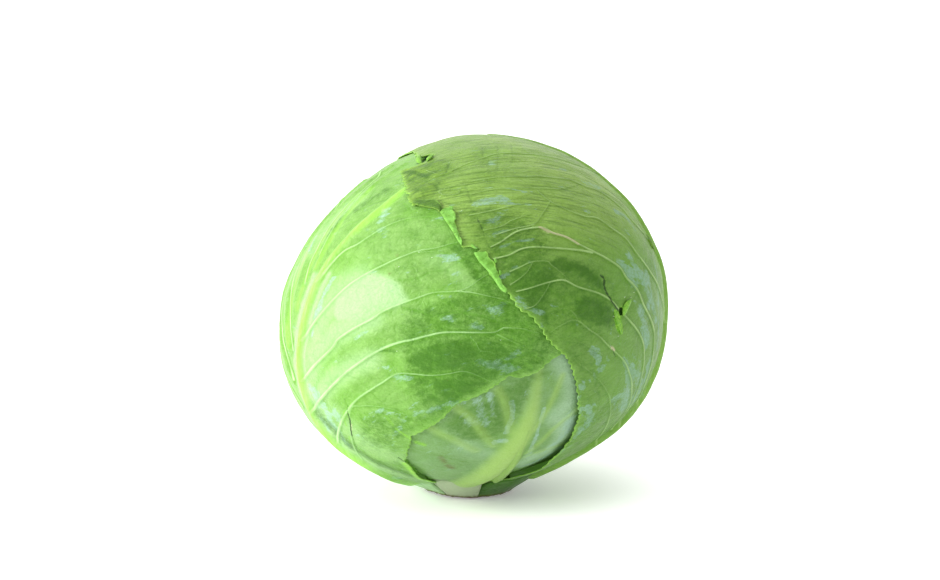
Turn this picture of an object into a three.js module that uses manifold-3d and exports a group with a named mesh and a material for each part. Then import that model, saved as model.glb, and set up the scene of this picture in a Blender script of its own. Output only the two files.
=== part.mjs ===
// A head of green cabbage standing on its cut stump.
//
// The head is a packed ball. Everything is laid on one smooth envelope, the skin that the second
// leaf from the outside follows, and each leaf lies on it at its own depth. A leaf is drawn flat,
// in millimetres, in a plane that touches the head at the middle of the leaf (u to the right,
// v up, seen from outside), and is then wrapped round the head.
//
// Units are millimetres, +Z is up, the origin is the centre of the stump's cut face and the head
// is seen from the front along +Y. Azimuth 0 is the front, 90 is the right (+X), 180 the back.
import * as THREE from 'three';
import { mergeVertices } from 'three/addons/utils/BufferGeometryUtils.js';
import Module from 'manifold-3d';

const wasm = await Module();
wasm.setup();

// ---- driving dimensions -----------------------------------------------------------------------

const HEAD = {
  centreX: 0.6, centreZ: 80,      // middle of the ball
  halfX: 89.1, halfY: 86,         // half widths
  top: 84.8, bottom: 76.5,        // height above and below the middle
  flatBelow: 2.25,                // power of the section below the middle: over 2 is flatter
  lean: 0.11,                     // sideways lean, mm per mm of height
};
const BUMP_SPREAD = 28;           // degrees
const BUMPS = [                   // swellings of the envelope: azimuth, elevation, mm
  [-90, 60, -3.5], [-90, 30, -2.1], [-90, -40, -2.5],
  [90, 70, -4.3], [90, 35, -3.1], [90, -30, 2.6],
];
const WRAP_RADIUS = 88;           // radius at which the leaf planes are wrapped
const BLADE = 0.9;                // leaf thickness between the veins
const LAYER = 1.6;                // depth from one leaf to the next
const HEART_DEPTH = 3.7;          // the packed heart starts this far below the envelope
const CLEAR = 0.35;               // gap between pieces that touch

const STUMP = {
  radius: 19, wobble: [[2, 0.5, 0.6], [5, 2.0, 0.35], [9, 0.8, 0.2]],   // lobes, phase, mm
  bevel: 1.2, shoulder: 10, coreRadius: 12, coreTop: 46, sides: 36,
};

const HIDDEN_STEP = 9;            // spacing of points along covered margins
const OPEN_STEP = 3.6;            // and along margins in the open
const STUMP_STEP = 12;            // degrees between points along the stump
const SCALLOP = 0.5;              // waves of an open margin, in the leaf's plane
const WAVE = 0.3;                 // and out of it
const WAVE_REACH = 6;             // how far in from the margin they die out
const VEIN_CLEAR = 1.3;           // closest that two points of the triangles come
const PLANE_REACH = 180;          // half size of the leaf planes
const JOG = 1e-3;                 // keeps points off common circles
const HEART_DETAIL = 10;

// ---- the envelope -----------------------------------------------------------------------------

const rad = THREE.MathUtils.degToRad;

function direction(azimuth, elevation) {
  const a = rad(azimuth);
  const e = rad(elevation);
  return new THREE.Vector3(Math.sin(a) * Math.cos(e), -Math.cos(a) * Math.cos(e), Math.sin(e));
}

const bumps = BUMPS.map(([azimuth, elevation, height]) => [direction(azimuth, elevation), height]);

// Point of the envelope in direction n, moved out by lift.
function envelope(n, lift) {
  const power = n.z > 0 ? 2 : HEAD.flatBelow;
  const drop = Math.min(Math.abs(n.z), 1 - 1e-9);
  const fill = Math.sqrt((1 - drop ** power) / (1 - drop * drop));
  let swell = 1;
  for (const [centre, height] of bumps) {
    const angle = THREE.MathUtils.radToDeg(n.angleTo(centre)) / BUMP_SPREAD;
    swell += height / 90 * Math.exp(-angle * angle);
  }
  const z = (n.z > 0 ? HEAD.top : HEAD.bottom) * n.z * swell;
  const p = new THREE.Vector3(
    HEAD.halfX * n.x * fill * swell + HEAD.centreX + HEAD.lean * z, HEAD.halfY * n.y * fill * swell, z);
  p.multiplyScalar(1 + lift / WRAP_RADIUS);
  p.z += HEAD.centreZ;
  return p;
}

function stumpRadius(angle) {
  return STUMP.wobble.reduce((r, [lobes, phase, size]) => r + size * Math.sin(lobes * angle + phase),
    STUMP.radius);
}

// Direction in which the envelope meets the side of the stump, at an azimuth round the stump.
function stumpDirection(azimuth, lift) {
  const a = rad(azimuth);
  const reach = stumpRadius(a) + CLEAR + 0.3;
  const n = direction(azimuth, -75);
  for (let i = 0; i < 40; i++) {
    const p = envelope(n, lift);
    n.x += 0.009 * (reach * Math.sin(a) - p.x);
    n.y += 0.009 * (-reach * Math.cos(a) - p.y);
    n.z = -Math.sqrt(1 - n.x * n.x - n.y * n.y);
  }
  return n;
}

// ---- leaf planes ------------------------------------------------------------------------------

class LeafPlane {
  constructor(azimuth, elevation) {
    this.out = direction(azimuth, elevation);
    this.up = direction(azimuth, elevation + 90);
    this.right = new THREE.Vector3().crossVectors(this.up, this.out);
  }

  toDirection([u, v]) {
    const reach = Math.hypot(u, v) || 1e-9;
    const turn = reach / WRAP_RADIUS;
    return this.out.clone().multiplyScalar(Math.cos(turn))
      .addScaledVector(this.right, Math.sin(turn) * u / reach)
      .addScaledVector(this.up, Math.sin(turn) * v / reach);
  }

  fromDirection(n) {
    const turn = this.out.angleTo(n);
    const scale = WRAP_RADIUS * turn / Math.sin(turn);
    return [scale * n.dot(this.right), scale * n.dot(this.up)];
  }
}

// Smooth curve through points, as points about `step` apart.
function smooth(points, step) {
  const curve = new THREE.SplineCurve(points.map(([u, v]) => new THREE.Vector2(u, v)));
  curve.arcLengthDivisions = 40 * points.length;
  const count = Math.max(1, Math.round(curve.getLength() / step));
  return curve.getSpacedPoints(count).map((p) => [p.x, p.y]);
}

const distance = (a, b) => Math.hypot(a[0] - b[0], a[1] - b[1]);

// Distance from p to a polyline, and how far along it (0 to 1) the nearest point lies.
function nearest(p, line) {
  let best = { distance: Infinity, along: 0 };
  for (let i = 0; i < line.length - 1; i++) {
    const [a, b] = [line[i], line[i + 1]];
    const length = distance(a, b) || 1e-9;
    const [eu, ev] = [(b[0] - a[0]) / length, (b[1] - a[1]) / length];
    const t = THREE.MathUtils.clamp((p[0] - a[0]) * eu + (p[1] - a[1]) * ev, 0, length);
    const d = distance(p, [a[0] + eu * t, a[1] + ev * t]);
    if (d < best.distance) best = { distance: d, along: (i + t / length) / (line.length - 1) };
  }
  return best;
}

function inside(p, ring) {
  let odd = false;
  ring.forEach((a, i) => {
    const b = ring[(i + 1) % ring.length];
    if ((a[1] > p[1]) !== (b[1] > p[1])
      && p[0] < a[0] + (b[0] - a[0]) * (p[1] - a[1]) / (b[1] - a[1])) odd = !odd;
  });
  return odd;
}

// ---- triangulation of a leaf's outline, with its holes, veins and filling points -----------------

function circumcircle(a, b, c) {
  const [bu, bv, cu, cv] = [b[0] - a[0], b[1] - a[1], c[0] - a[0], c[1] - a[1]];
  const d = 2 * (bu * cv - bv * cu);
  const u = (cv * (bu * bu + bv * bv) - bv * (cu * cu + cv * cv)) / d;
  const v = (bu * (cu * cu + cv * cv) - cu * (bu * bu + bv * bv)) / d;
  return { u: a[0] + u, v: a[1] + v, r2: u * u + v * v };
}

// Delaunay triangles of the points (Bowyer-Watson), each turning anticlockwise.
function delaunay(points) {
  const far = 1e4;
  const all = [...points, [-far, -far], [far, -far], [0, far]];
  const n = points.length;
  const make = (a, b, c) => ({ corners: [a, b, c], ...circumcircle(all[a], all[b], all[c]) });
  let triangles = [make(n, n + 1, n + 2)];
  points.forEach((p, i) => {
    const edges = new Map();
    triangles = triangles.filter((t) => {
      if ((p[0] - t.u) ** 2 + (p[1] - t.v) ** 2 > t.r2) return true;
      t.corners.forEach((a, k) => {
        const b = t.corners[(k + 1) % 3];
        if (!edges.delete(`${b},${a}`)) edges.set(`${a},${b}`, [a, b]);
      });
      return false;
    });
    for (const [a, b] of edges.values()) triangles.push(make(a, b, i));
  });
  return triangles.map((t) => t.corners).filter((t) => t.every((k) => k < n));
}

// Points of a vein: its crest, and lines beside it out to its foot.
function veinPoints(vein) {
  const line = smooth(vein.path, vein.step);
  const rows = vein.width > 4 ? [-1, -0.5, 0, 0.5, 1] : [-1, 0, 1];
  const points = [];
  line.forEach((p, i) => {
    const a = line[Math.max(i - 1, 0)];
    const b = line[Math.min(i + 1, line.length - 1)];
    const length = distance(a, b);
    const [nu, nv] = [-(b[1] - a[1]) / length, (b[0] - a[0]) / length];
    const half = THREE.MathUtils.lerp(vein.width, vein.tipWidth, i / (line.length - 1));
    rows.forEach((k) => points.push([p[0] + nu * half * k, p[1] + nv * half * k]));
  });
  return points;
}

// Height of the veins at a point of the leaf plane.
function relief(p, veins) {
  let height = 0;
  for (const vein of veins) {
    const near = nearest(p, vein.line);
    const width = THREE.MathUtils.lerp(vein.width, vein.tipWidth, near.along);
    if (near.distance >= width) continue;
    const crest = THREE.MathUtils.lerp(vein.height, vein.tipHeight, near.along);
    height = Math.max(height, crest * Math.cos(Math.PI / 2 * near.distance / width) ** 2);
  }
  return height;
}

// Fills the outline with triangles. The points of the rings come first and stay in order. A side
// of a ring that the triangles miss is halved, and the filling is done again.
function fillOutline(rings, veins, spacing) {
  const points = rings.flat();
  const clearOf = (p, gap) => points.every((q) => distance(p, q) > gap);
  const open = (p) => inside(p, rings[0]) && !rings.slice(1).some((ring) => inside(p, ring));
  veins.forEach((vein, i) => {
    const buried = (p) => i > 0 && nearest(p, veins[0].line).distance < veins[0].width;
    for (const p of veinPoints(vein)) if (open(p) && !buried(p) && clearOf(p, VEIN_CLEAR)) points.push(p);
  });
  for (let row = -PLANE_REACH, odd = 0; row < PLANE_REACH; row += spacing * Math.sqrt(3) / 2, odd ^= 1) {
    for (let u = -PLANE_REACH; u < PLANE_REACH; u += spacing) {
      const p = [u + odd * spacing / 2, row];
      if (open(p) && clearOf(p, spacing * 0.62)) points.push(p);
    }
  }
  const jogged = points.map(([u, v], i) => [u + JOG * Math.sin(i * 3.7), v + JOG * Math.cos(i * 5.3)]);
  const triangles = delaunay(jogged).filter((t) => open([0, 1].map(
    (k) => (jogged[t[0]][k] + jogged[t[1]][k] + jogged[t[2]][k]) / 3)));
  const sides = new Set(triangles.flatMap(([a, b, c]) => [`${a},${b}`, `${b},${c}`, `${c},${a}`]));
  let start = 0;
  let missed = false;
  const finer = rings.map((ring) => {
    const first = start;
    start += ring.length;
    return ring.flatMap((p, i) => {
      const next = (i + 1) % ring.length;
      const [a, b] = [first + i, first + next];
      if (sides.has(`${a},${b}`) || sides.has(`${b},${a}`)) return [p];
      missed = true;
      return [p, [(p[0] + ring[next][0]) / 2, (p[1] + ring[next][1]) / 2]];
    });
  });
  return missed ? fillOutline(finer, veins, spacing) : { rings, points, triangles };
}

// ---- solids -----------------------------------------------------------------------------------

function meshOf(vertices, triangles) {
  const geometry = new THREE.BufferGeometry();
  geometry.setAttribute('position', new THREE.Float32BufferAttribute(vertices.flatMap((p) => p.toArray()), 3));
  geometry.setIndex(triangles.flat());
  return geometry;
}

function toManifold(geometry) {
  const plain = geometry.clone();
  for (const name of ['normal', 'uv']) plain.deleteAttribute(name);
  const merged = mergeVertices(plain, 1e-4);
  return new wasm.Manifold(new wasm.Mesh({
    numProp: 3,
    vertProperties: Float32Array.from(merged.attributes.position.array),
    triVerts: Uint32Array.from(merged.index.array),
  }));
}

function fromManifold(solid) {
  const mesh = solid.getMesh();
  const geometry = new THREE.BufferGeometry();
  geometry.setAttribute('position', new THREE.BufferAttribute(mesh.vertProperties, 3));
  geometry.setIndex(new THREE.BufferAttribute(mesh.triVerts, 1));
  return geometry;
}

// Outline of a leaf in its plane: [kind, points] stretches, end to end.
//   'cut'    straight lines from point to point
//   'hidden' a smooth margin under another leaf
//   'open'   a smooth margin in the open, waved
//   'stump'  along the side of the stump, between two azimuths
function outlineOf(leaf) {
  return leaf.outline.flatMap(([kind, points]) => {
    if (kind === 'cut') return points;
    if (kind === 'stump') {
      const [from, to] = points;
      const count = Math.ceil(Math.abs(to - from) / STUMP_STEP);
      return Array.from({ length: count + 1 }, (_, i) => {
        const azimuth = THREE.MathUtils.lerp(from, to, i / count);
        let p = leaf.plane.fromDirection(stumpDirection(azimuth, leaf.lift));
        for (let k = 0; k < 3; k++) {
          p = leaf.plane.fromDirection(stumpDirection(azimuth, standOff(p, leaf, [])));
        }
        return p;
      });
    }
    const line = smooth(points, kind === 'open' ? OPEN_STEP : HIDDEN_STEP).slice(0, -1);
    if (kind === 'hidden') return line;
    return line.map((p, i) => {
      const next = line[(i + 1) % line.length] ?? p;
      const length = distance(p, next);
      const wave = i && i < line.length - 1 ? SCALLOP * Math.sin(i * 1.3 + 2 * Math.sin(i * 0.37)) : 0;
      return [p[0] + wave * (next[1] - p[1]) / length, p[1] - wave * (next[0] - p[0]) / length];
    });
  });
}

// How far the leaf stands off its own layer at p: hand-placed rises, and waves along open margins.
function standOff(p, leaf, margins) {
  let lift = leaf.lift;
  for (const [u, v, height, spread] of leaf.rises) {
    lift += height * Math.exp(-((p[0] - u) ** 2 + (p[1] - v) ** 2) / spread ** 2);
  }
  const edge = Math.min(Infinity, ...margins.map((line) => nearest(p, line).distance));
  return lift + WAVE * (1 + Math.sin(p[0] * 0.55) * Math.cos(p[1] * 0.5)) * Math.exp(-edge / WAVE_REACH);
}

function leafSolid(leaf) {
  const veins = leaf.veins.map((vein) => ({ ...vein, line: smooth(vein.path, 3) }));
  const { rings, points, triangles } = fillOutline([outlineOf(leaf), ...leaf.holes], veins, leaf.spacing);
  const margins = leaf.outline.filter(([kind]) => kind === 'open').map(([, line]) => smooth(line, 4));
  const outer = [];
  const inner = [];
  for (const p of points) {
    const n = leaf.plane.toDirection(p);
    const lift = standOff(p, leaf, margins);
    outer.push(envelope(n, lift + relief(p, veins)));
    inner.push(envelope(n, lift - BLADE));
  }
  const count = points.length;
  const faces = triangles.flatMap(([a, b, c]) => [[a, b, c], [a + count, c + count, b + count]]);
  const sides = new Set(triangles.flatMap(([a, b, c]) => [`${a},${b}`, `${b},${c}`, `${c},${a}`]));
  let start = 0;
  for (const ring of rings) {
    ring.forEach((_, i) => {
      let [a, b] = [start + i, start + (i + 1) % ring.length];
      if (!sides.has(`${a},${b}`)) [a, b] = [b, a];
      faces.push([b, a, a + count], [b, a + count, b + count]);
    });
    start += ring.length;
  }
  const blade = meshOf([...outer, ...inner], faces);
  if (!leaf.lips.length) return blade;
  return fromManifold(leaf.lips.reduce((solid, lip) => solid.add(toManifold(lipSolid(leaf, lip))),
    toManifold(blade)));
}

// A margin folded back over the leaf: a strip that rolls out from the fold and lies back on it.
function lipSolid(leaf, lip) {
  const radius = BLADE;
  const vertices = [];
  const faces = [];
  const arc = [-90, -135, -180, -225, -270].map(rad);
  const path = (width) => [
    [radius + 0.6, -BLADE / 2, 0, 1],
    ...arc.map((t) => [
      radius * Math.cos(t) + 0.3, radius * (1 + Math.sin(t)) - BLADE / 2, -Math.cos(t), -Math.sin(t)]),
    [Math.max(width, radius), 2 * radius - BLADE / 2 - 0.1, 0, -1],
  ];
  lip.forEach(([fold, back]) => {
    const width = distance(fold, back);
    const along = [(back[0] - fold[0]) / width, (back[1] - fold[1]) / width];
    const section = path(width);
    for (const side of [1, -1]) {
      for (const [x, height, nx, nz] of section) {
        const reach = x + side * nx * BLADE / 2;
        const p = [fold[0] + along[0] * reach, fold[1] + along[1] * reach];
        vertices.push(envelope(leaf.plane.toDirection(p),
          standOff(fold, leaf, []) + height + side * nz * BLADE / 2));
      }
    }
  });
  const rows = 7;
  const ring = [...Array(rows).keys(), ...[...Array(rows).keys()].map((k) => 2 * rows - 1 - k)];
  const size = ring.length;
  for (let s = 0; s < lip.length - 1; s++) {
    ring.forEach((a, i) => {
      const b = ring[(i + 1) % size];
      const [p, q, r, t] = [s * size + a, s * size + b, (s + 1) * size + b, (s + 1) * size + a];
      faces.push([p, q, r], [p, r, t]);
    });
  }
  for (let k = 0; k < rows - 1; k++) {
    const last = (lip.length - 1) * size;
    faces.push([k, k + rows, k + rows + 1], [k, k + rows + 1, k + 1]);
    faces.push([last + k, last + k + 1, last + k + rows + 1], [last + k, last + k + rows + 1, last + k + rows]);
  }
  return meshOf(vertices, faces);
}

// The cut stem: a short foot with bevelled rims, drawn in to the core that runs up into the heart.
function stumpSolid(grow) {
  const profile = [
    [0, 0], [STUMP.radius - STUMP.bevel, 0], [STUMP.radius, STUMP.bevel],
    [STUMP.radius, STUMP.shoulder], [STUMP.coreRadius + 2, STUMP.shoulder + 6],
    [STUMP.coreRadius, STUMP.coreTop - 8], [STUMP.coreRadius / 2, STUMP.coreTop], [0, STUMP.coreTop],
  ];
  const grown = profile.map(([r, z]) => new THREE.Vector2(
    r ? r + grow : 0, z + (z > STUMP.shoulder ? grow : 0) - (z === 0 && grow ? 5 : 0)));
  const lathe = new THREE.LatheGeometry(grown, STUMP.sides).rotateX(Math.PI / 2);
  const position = lathe.attributes.position;
  for (let i = 0; i < position.count; i++) {
    const [x, y] = [position.getX(i), position.getY(i)];
    const swell = stumpRadius(Math.atan2(x, -y)) / STUMP.radius;
    position.setXY(i, x * swell, y * swell);
  }
  return lathe;
}

function heartSolid() {
  const ball = new THREE.IcosahedronGeometry(1, HEART_DETAIL);
  for (const name of ['normal', 'uv']) ball.deleteAttribute(name);
  const lump = mergeVertices(ball, 1e-4);
  const position = lump.attributes.position;
  const n = new THREE.Vector3();
  for (let i = 0; i < position.count; i++) {
    n.fromBufferAttribute(position, i).normalize();
    position.setXYZ(i, ...envelope(n, -HEART_DEPTH).toArray());
  }
  return fromManifold(toManifold(lump).subtract(toManifold(stumpSolid(CLEAR))));
}

// ---- the leaves -------------------------------------------------------------------------------

// Veins as [path, half width, height] at the root end; they taper towards the tip.
const vein = ([path, width = 1.6, height = 0.7, tipWidth = 1.2, tipHeight = 0.3]) => (
  { path, width, height, tipWidth, tipHeight, step: width > 4 ? 9 : 8 });

// Side veins of a part of the leaf that faces away, one every `pitch` along the midrib.
function sideVeins({ from, pitch, count, side, rootU, run, rise }) {
  return Array.from({ length: count }, (_, i) => {
    const v = from + i * pitch;
    const reach = run * Math.sin(Math.PI * (i + 1.6) / (count + 2.2));
    return vein([[[rootU, v], [rootU + side * reach * 0.5, v + rise], [rootU + side * reach, v + rise * 1.35]]]);
  });
}

const leafRight = {
  plane: new LeafPlane(85, 15), lift: LAYER, spacing: 12,
  outline: [
    ['stump', [150, 12]],
    ['open', [[-44, -131], [-43, -124], [-46, -117], [-50, -110], [-53, -99], [-59, -85], [-66, -71], [-74, -55], [-80, -42], [-86, -28],
      [-92, -16], [-99, -2], [-102, 7], [-105, 14], [-108, 23], [-109, 29]]],
    ['cut', [[-110, 33], [-110, 41], [-110, 49], [-109, 56], [-107, 57], [-107.5, 61], [-110, 64], [-109, 68],
      [-106, 75], [-103, 82], [-100, 89], [-98, 95], [-98, 102], [-97, 109], [-94, 116], [-88, 120],
      [-81, 125], [-75, 132], [-69, 135], [-62, 140], [-54, 143], [-48, 140], [-39, 135.5], [-29, 136.5],
      [-24, 142], [-21, 146], [-9, 149]]],
    ['open', [[0, 151], [19, 156], [60, 152], [105, 123], [138, 75], [150, 20], [142, -28], [120, -68],
      [88, -103], [58, -126], [40, -137]]],
  ],
  holes: [[[-52, -1], [-49.5, -4], [-51, -8], [-54, -9], [-57, -20], [-59, -14], [-61.5, -5], [-55, -4]]],
  veins: [
    [[[-15, -124], [-21, -110], [-24, -92], [-17, -70], [-10, -48], [-4, -25], [-1, 0], [0, 25], [4, 50], [14, 85],
      [22, 115]], 6.5, 3.2, 1.6, 0.7],
    [[[3, 46], [8, 57], [-4, 73], [-22, 88], [-38, 108], [-44, 122]]],
    [[[-3, 13], [-16, 28], [-26, 47], [-34, 57], [-49, 81], [-66, 95], [-80, 104]]],
    [[[-12, -15], [-26, -1], [-39, 27], [-53, 46], [-62, 60], [-63, 73], [-76, 86]]],
    [[[-30, -23], [-49, 6], [-60, 24], [-74, 43], [-79, 51], [-89, 57], [-103, 55]]],
    [[[-60, 24], [-72, 33], [-87, 43], [-105, 48]]],
    [[[-47, -18], [-65, 3], [-75, 12], [-92, 24], [-102, 27]]],
    [[[-25, -80], [-32, -60], [-44, -46], [-54, -32], [-65, -22], [-84, -3]]],
    [[[-24, -92], [-45, -72], [-57, -52], [-68, -42], [-79, -31]]],
  ].map(vein).concat(sideVeins({ from: -85, pitch: 26, count: 7, side: 1, rootU: 0, run: 120, rise: 24 })),
  rises: [[-60, 140, 1.2, 14], [-52, -110, 2.4, 12], [0, -138, 3.6, 26]],
  lips: [
    [[[-97, 109], [-95, 108]], [[-98, 102], [-93, 105]], [[-98, 95], [-92, 99]], [[-100, 89], [-95, 91]],
      [[-103, 82], [-97, 85]], [[-106, 75], [-101, 79]], [[-109, 68], [-107, 71]], [[-110, 65], [-109, 67]]],
    [[[-109, 56], [-107, 55]], [[-110, 50], [-106, 50]], [[-110, 43], [-106, 44]], [[-110, 37], [-107, 39]],
      [[-110, 33], [-109, 34]]],
  ],
};

const leafLeft = {
  plane: new LeafPlane(-58, 10), lift: 0, spacing: 12,
  outline: [
    ['stump', [-42, -140]],
    ['open', [[-45, -142], [-74, -124], [-110, -104], [-146, -60], [-160, -6]]],
    ['hidden', [[-160, -6], [-147, 46], [-114, 79], [-75, 94], [-38, 101], [-6, 99], [31, 85], [66, 75], [99, 58],
      [123, 31], [131, 6], [130, -7]]],
    ['open', [[130, -7], [122, -18], [117, -22], [108, -23], [103, -29], [90, -40], [83, -48], [67, -63],
      [58, -71], [51, -83], [47, -89], [45, -100], [40, -113], [36, -119], [34, -126]]],
  ],
  holes: [],
  veins: [
    [[[11, -127], [16, -114], [14, -97], [5, -77], [1, -50], [0, -30], [3, -5], [5, 15], [11, 34], [17, 52], [22, 72]],
      6, 3, 1.6, 0.5],
    [[[7, 19], [22, 32], [29, 41], [40, 50]]],
    [[[3, -12], [16, -2], [26, 8], [41, 26], [57, 36], [72, 40]]],
    [[[1, -25], [18, -15], [35, -7], [46, 1], [65, 15], [90, 31]]],
    [[[46, 1], [66, 6], [89, 10]]],
    [[[1, -50], [18, -42], [33, -31], [43, -20], [61, -9], [85, 0], [101, 6], [120, 9]]],
    [[[7, -80], [24, -62], [39, -45], [59, -26], [77, -25], [99, -23]]],
    [[[14, -96], [24, -68], [42, -46], [63, -50], [76, -46]]],
  ].map(vein).concat(sideVeins({ from: -92, pitch: 26, count: 6, side: -1, rootU: 0, run: 105, rise: 22 })),
  rises: [[43, -107, 1.6, 9], [-4, -142, 2.2, 26]],
  lips: [],
};

const leafFront = {
  plane: new LeafPlane(18, -15), lift: -LAYER, spacing: 13,
  outline: [
    ['stump', [70, -25]],
    ['open', [[-19, -89], [-27, -79], [-35, -66], [-43, -53]]],
    ['hidden', [[-43, -53], [-66, -36], [-96, -7], [-89, 51], [-39, 82], [0, 88], [39, 82], [89, 51],
      [96, -7], [70, -56], [40, -85], [30, -94]]],
  ],
  holes: [],
  veins: [
    [[[2, -83], [0, -72], [2, -60], [4, -44], [5, -24], [2, -6], [2, 14]], 9, 3.4, 2.6, 0.3],
    [[[6, -26], [7, -10], [20, 7]]],
    [[[3, -55], [12, -41], [27, -13]]],
    [[[3, -42], [-12, -26], [-28, -6]]],
    [[[4, -25], [-7, -9], [-13, 4]]],
    [[[1, -66], [-14, -54], [-30, -40]]],
  ].map(vein),
  rises: [], lips: [],
};

const leafBack = {
  plane: new LeafPlane(170, 0), lift: -LAYER, spacing: 13,
  outline: [
    ['stump', [225, 130]],
    ['hidden', [[-38, -113], [-60, -94], [-83, -70], [-100, -20], [-88, 37], [-39, 61], [0, 65], [39, 61],
      [88, 37], [98, -20], [80, -74], [55, -100], [36, -118]]],
  ],
  holes: [],
  veins: [
    [[[-4, -114], [0, -90], [3, -60], [2, -25], [0, 10], [0, 45]], 6, 2, 1.4, 0.3],
    ...[-1, 1].flatMap((side) => [-70, -42, -14].map((v) => (
      [[[2, v], [2 + side * 28, v + 20], [2 + side * 52, v + 30]]]))),
  ].map(vein),
  rises: [], lips: [],
};

// ---- the assembly -----------------------------------------------------------------------------

const head = new THREE.Group();

function add(name, geometry, colour, roughness) {
  const mesh = new THREE.Mesh(geometry, new THREE.MeshStandardMaterial({ color: colour, roughness, metalness: 0 }));
  mesh.name = name;
  head.add(mesh);
}

add('stump', stumpSolid(0), 0xc9b78e, 0.85);
add('heart', heartSolid(), 0xc4d89a, 0.5);
add('leaf_front', leafSolid(leafFront), 0xa3c878, 0.45);
add('leaf_back', leafSolid(leafBack), 0x9cc06e, 0.45);
add('leaf_left', leafSolid(leafLeft), 0xa2d468, 0.42);
add('leaf_right', leafSolid(leafRight), 0x7da84c, 0.45);

export default head;
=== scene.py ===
import math
from functools import cache

import bpy
import numpy as np
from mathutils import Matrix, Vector
from mathutils.geometry import delaunay_2d_cdt


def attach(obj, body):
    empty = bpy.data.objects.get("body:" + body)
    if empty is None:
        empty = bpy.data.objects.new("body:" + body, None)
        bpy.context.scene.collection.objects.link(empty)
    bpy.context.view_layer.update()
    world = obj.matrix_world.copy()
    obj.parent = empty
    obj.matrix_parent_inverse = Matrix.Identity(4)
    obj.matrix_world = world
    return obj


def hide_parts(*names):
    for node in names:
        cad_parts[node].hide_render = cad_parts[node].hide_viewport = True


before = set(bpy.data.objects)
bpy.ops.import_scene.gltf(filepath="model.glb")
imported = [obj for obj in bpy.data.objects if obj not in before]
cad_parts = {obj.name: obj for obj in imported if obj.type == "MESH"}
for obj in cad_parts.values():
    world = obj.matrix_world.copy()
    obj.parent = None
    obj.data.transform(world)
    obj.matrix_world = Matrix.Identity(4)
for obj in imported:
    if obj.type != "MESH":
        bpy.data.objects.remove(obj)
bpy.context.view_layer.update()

MM = 0.001
ROOT = "root"

# ---- the head's envelope, in millimetres, as the solids have it ----

CENTRE_X, CENTRE_Z = 0.6, 81.6
HALF_X, HALF_Y, TOP, BOTTOM = 89.1, 86.0, 84.8, 76.5
FLAT_BELOW = 2.25  # power of the fuller curve below the middle
LEAN = 0.11
BUMP_SPREAD = 28.0  # degrees
BUMPS = [(-90, 60, -3.5), (-90, 30, -2.1), (-90, -40, -2.5), (90, 70, -4.3), (90, 35, -3.1), (90, -30, 1.6),
         (90, 0, -1.3), (62, -55, -1.8), (-80, -28, -1.5), (-90, 14, -1.4)]  # azimuth, elevation, height
WRAP = 88.0  # radius that the leaves' planes are wrapped round
LAYER = 1.6  # lift from one leaf to the next
HEART_DEPTH = 4.0
CLEAR = 0.35  # from the stump to the leaves' feet
FITS, FIT_PULL = 14, 0.0105
STUMP_RADIUS = 19.0
STUMP_WOBBLE = [(2, 0.5, 0.6), (5, 2.0, 0.35), (9, 0.8, 0.2)]  # lobes, phase, size


def direction(azimuth, elevation):
    a, e = np.radians(azimuth), np.radians(elevation)
    return np.array([np.sin(a) * np.cos(e), -np.cos(a) * np.cos(e), np.sin(e)])


def envelope(n, lift):
    """Points of the envelope in directions n, moved out by lift."""
    drop = np.minimum(np.abs(n[:, 2]), 1 - 1e-9)
    power = np.where(n[:, 2] > 0, 2.0, FLAT_BELOW)
    fill = np.sqrt((1 - drop ** power) / (1 - drop * drop))
    swell = np.ones(len(n))
    for azimuth, elevation, height in BUMPS:
        angle = np.degrees(np.arccos(np.clip(n @ direction(azimuth, elevation), -1, 1)))
        swell += height / 90 * np.exp(-(angle / BUMP_SPREAD) ** 2)
    z = np.where(n[:, 2] > 0, TOP, BOTTOM) * n[:, 2] * swell
    p = np.stack([HALF_X * n[:, 0] * fill * swell + CENTRE_X + LEAN * z, HALF_Y * n[:, 1] * fill * swell, z], -1)
    p *= (1 + lift / WRAP)[:, None]
    p[:, 2] += CENTRE_Z
    return p


def stump_radius(angle):
    return STUMP_RADIUS + sum(size * np.sin(lobes * angle + phase) for lobes, phase, size in STUMP_WOBBLE)


def stump_direction(azimuth, lift, out=0.0):
    """Direction of the envelope's point that stands over the stump's side, or further out."""
    a = np.radians(azimuth)
    reach = stump_radius(a) + CLEAR + 0.3 + out
    n = direction(azimuth, -75)
    for _ in range(FITS):
        p = envelope(n[None], np.array([lift]))[0]
        n[0] += FIT_PULL * (reach * np.sin(a) - p[0])
        n[1] += FIT_PULL * (-reach * np.cos(a) - p[1])
        n[2] = -math.sqrt(1 - n[0] ** 2 - n[1] ** 2)
    return n


class Plane:
    """A leaf's own plane, in millimetres, wrapped round the head from its middle."""

    def __init__(self, azimuth, elevation):
        self.out = direction(azimuth, elevation)
        self.up = direction(azimuth, elevation + 90)
        self.right = np.cross(self.up, self.out)

    def to_direction(self, uv):
        reach = np.maximum(np.hypot(*uv.T), 1e-9)
        turn = reach / WRAP
        k = np.sin(turn) / reach
        return (np.cos(turn)[:, None] * self.out + (k * uv[:, 0])[:, None] * self.right
                + (k * uv[:, 1])[:, None] * self.up)

    def from_direction(self, n):
        turn = np.arccos(np.clip(n @ self.out, -1, 1))
        k = WRAP * turn / np.maximum(np.sin(turn), 1e-9)
        return np.stack([k * (n @ self.right), k * (n @ self.up)], -1)


# ---- curves in a leaf's plane ----

def pairs(numbers):
    return np.array(numbers, float).reshape(-1, 2)


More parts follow.
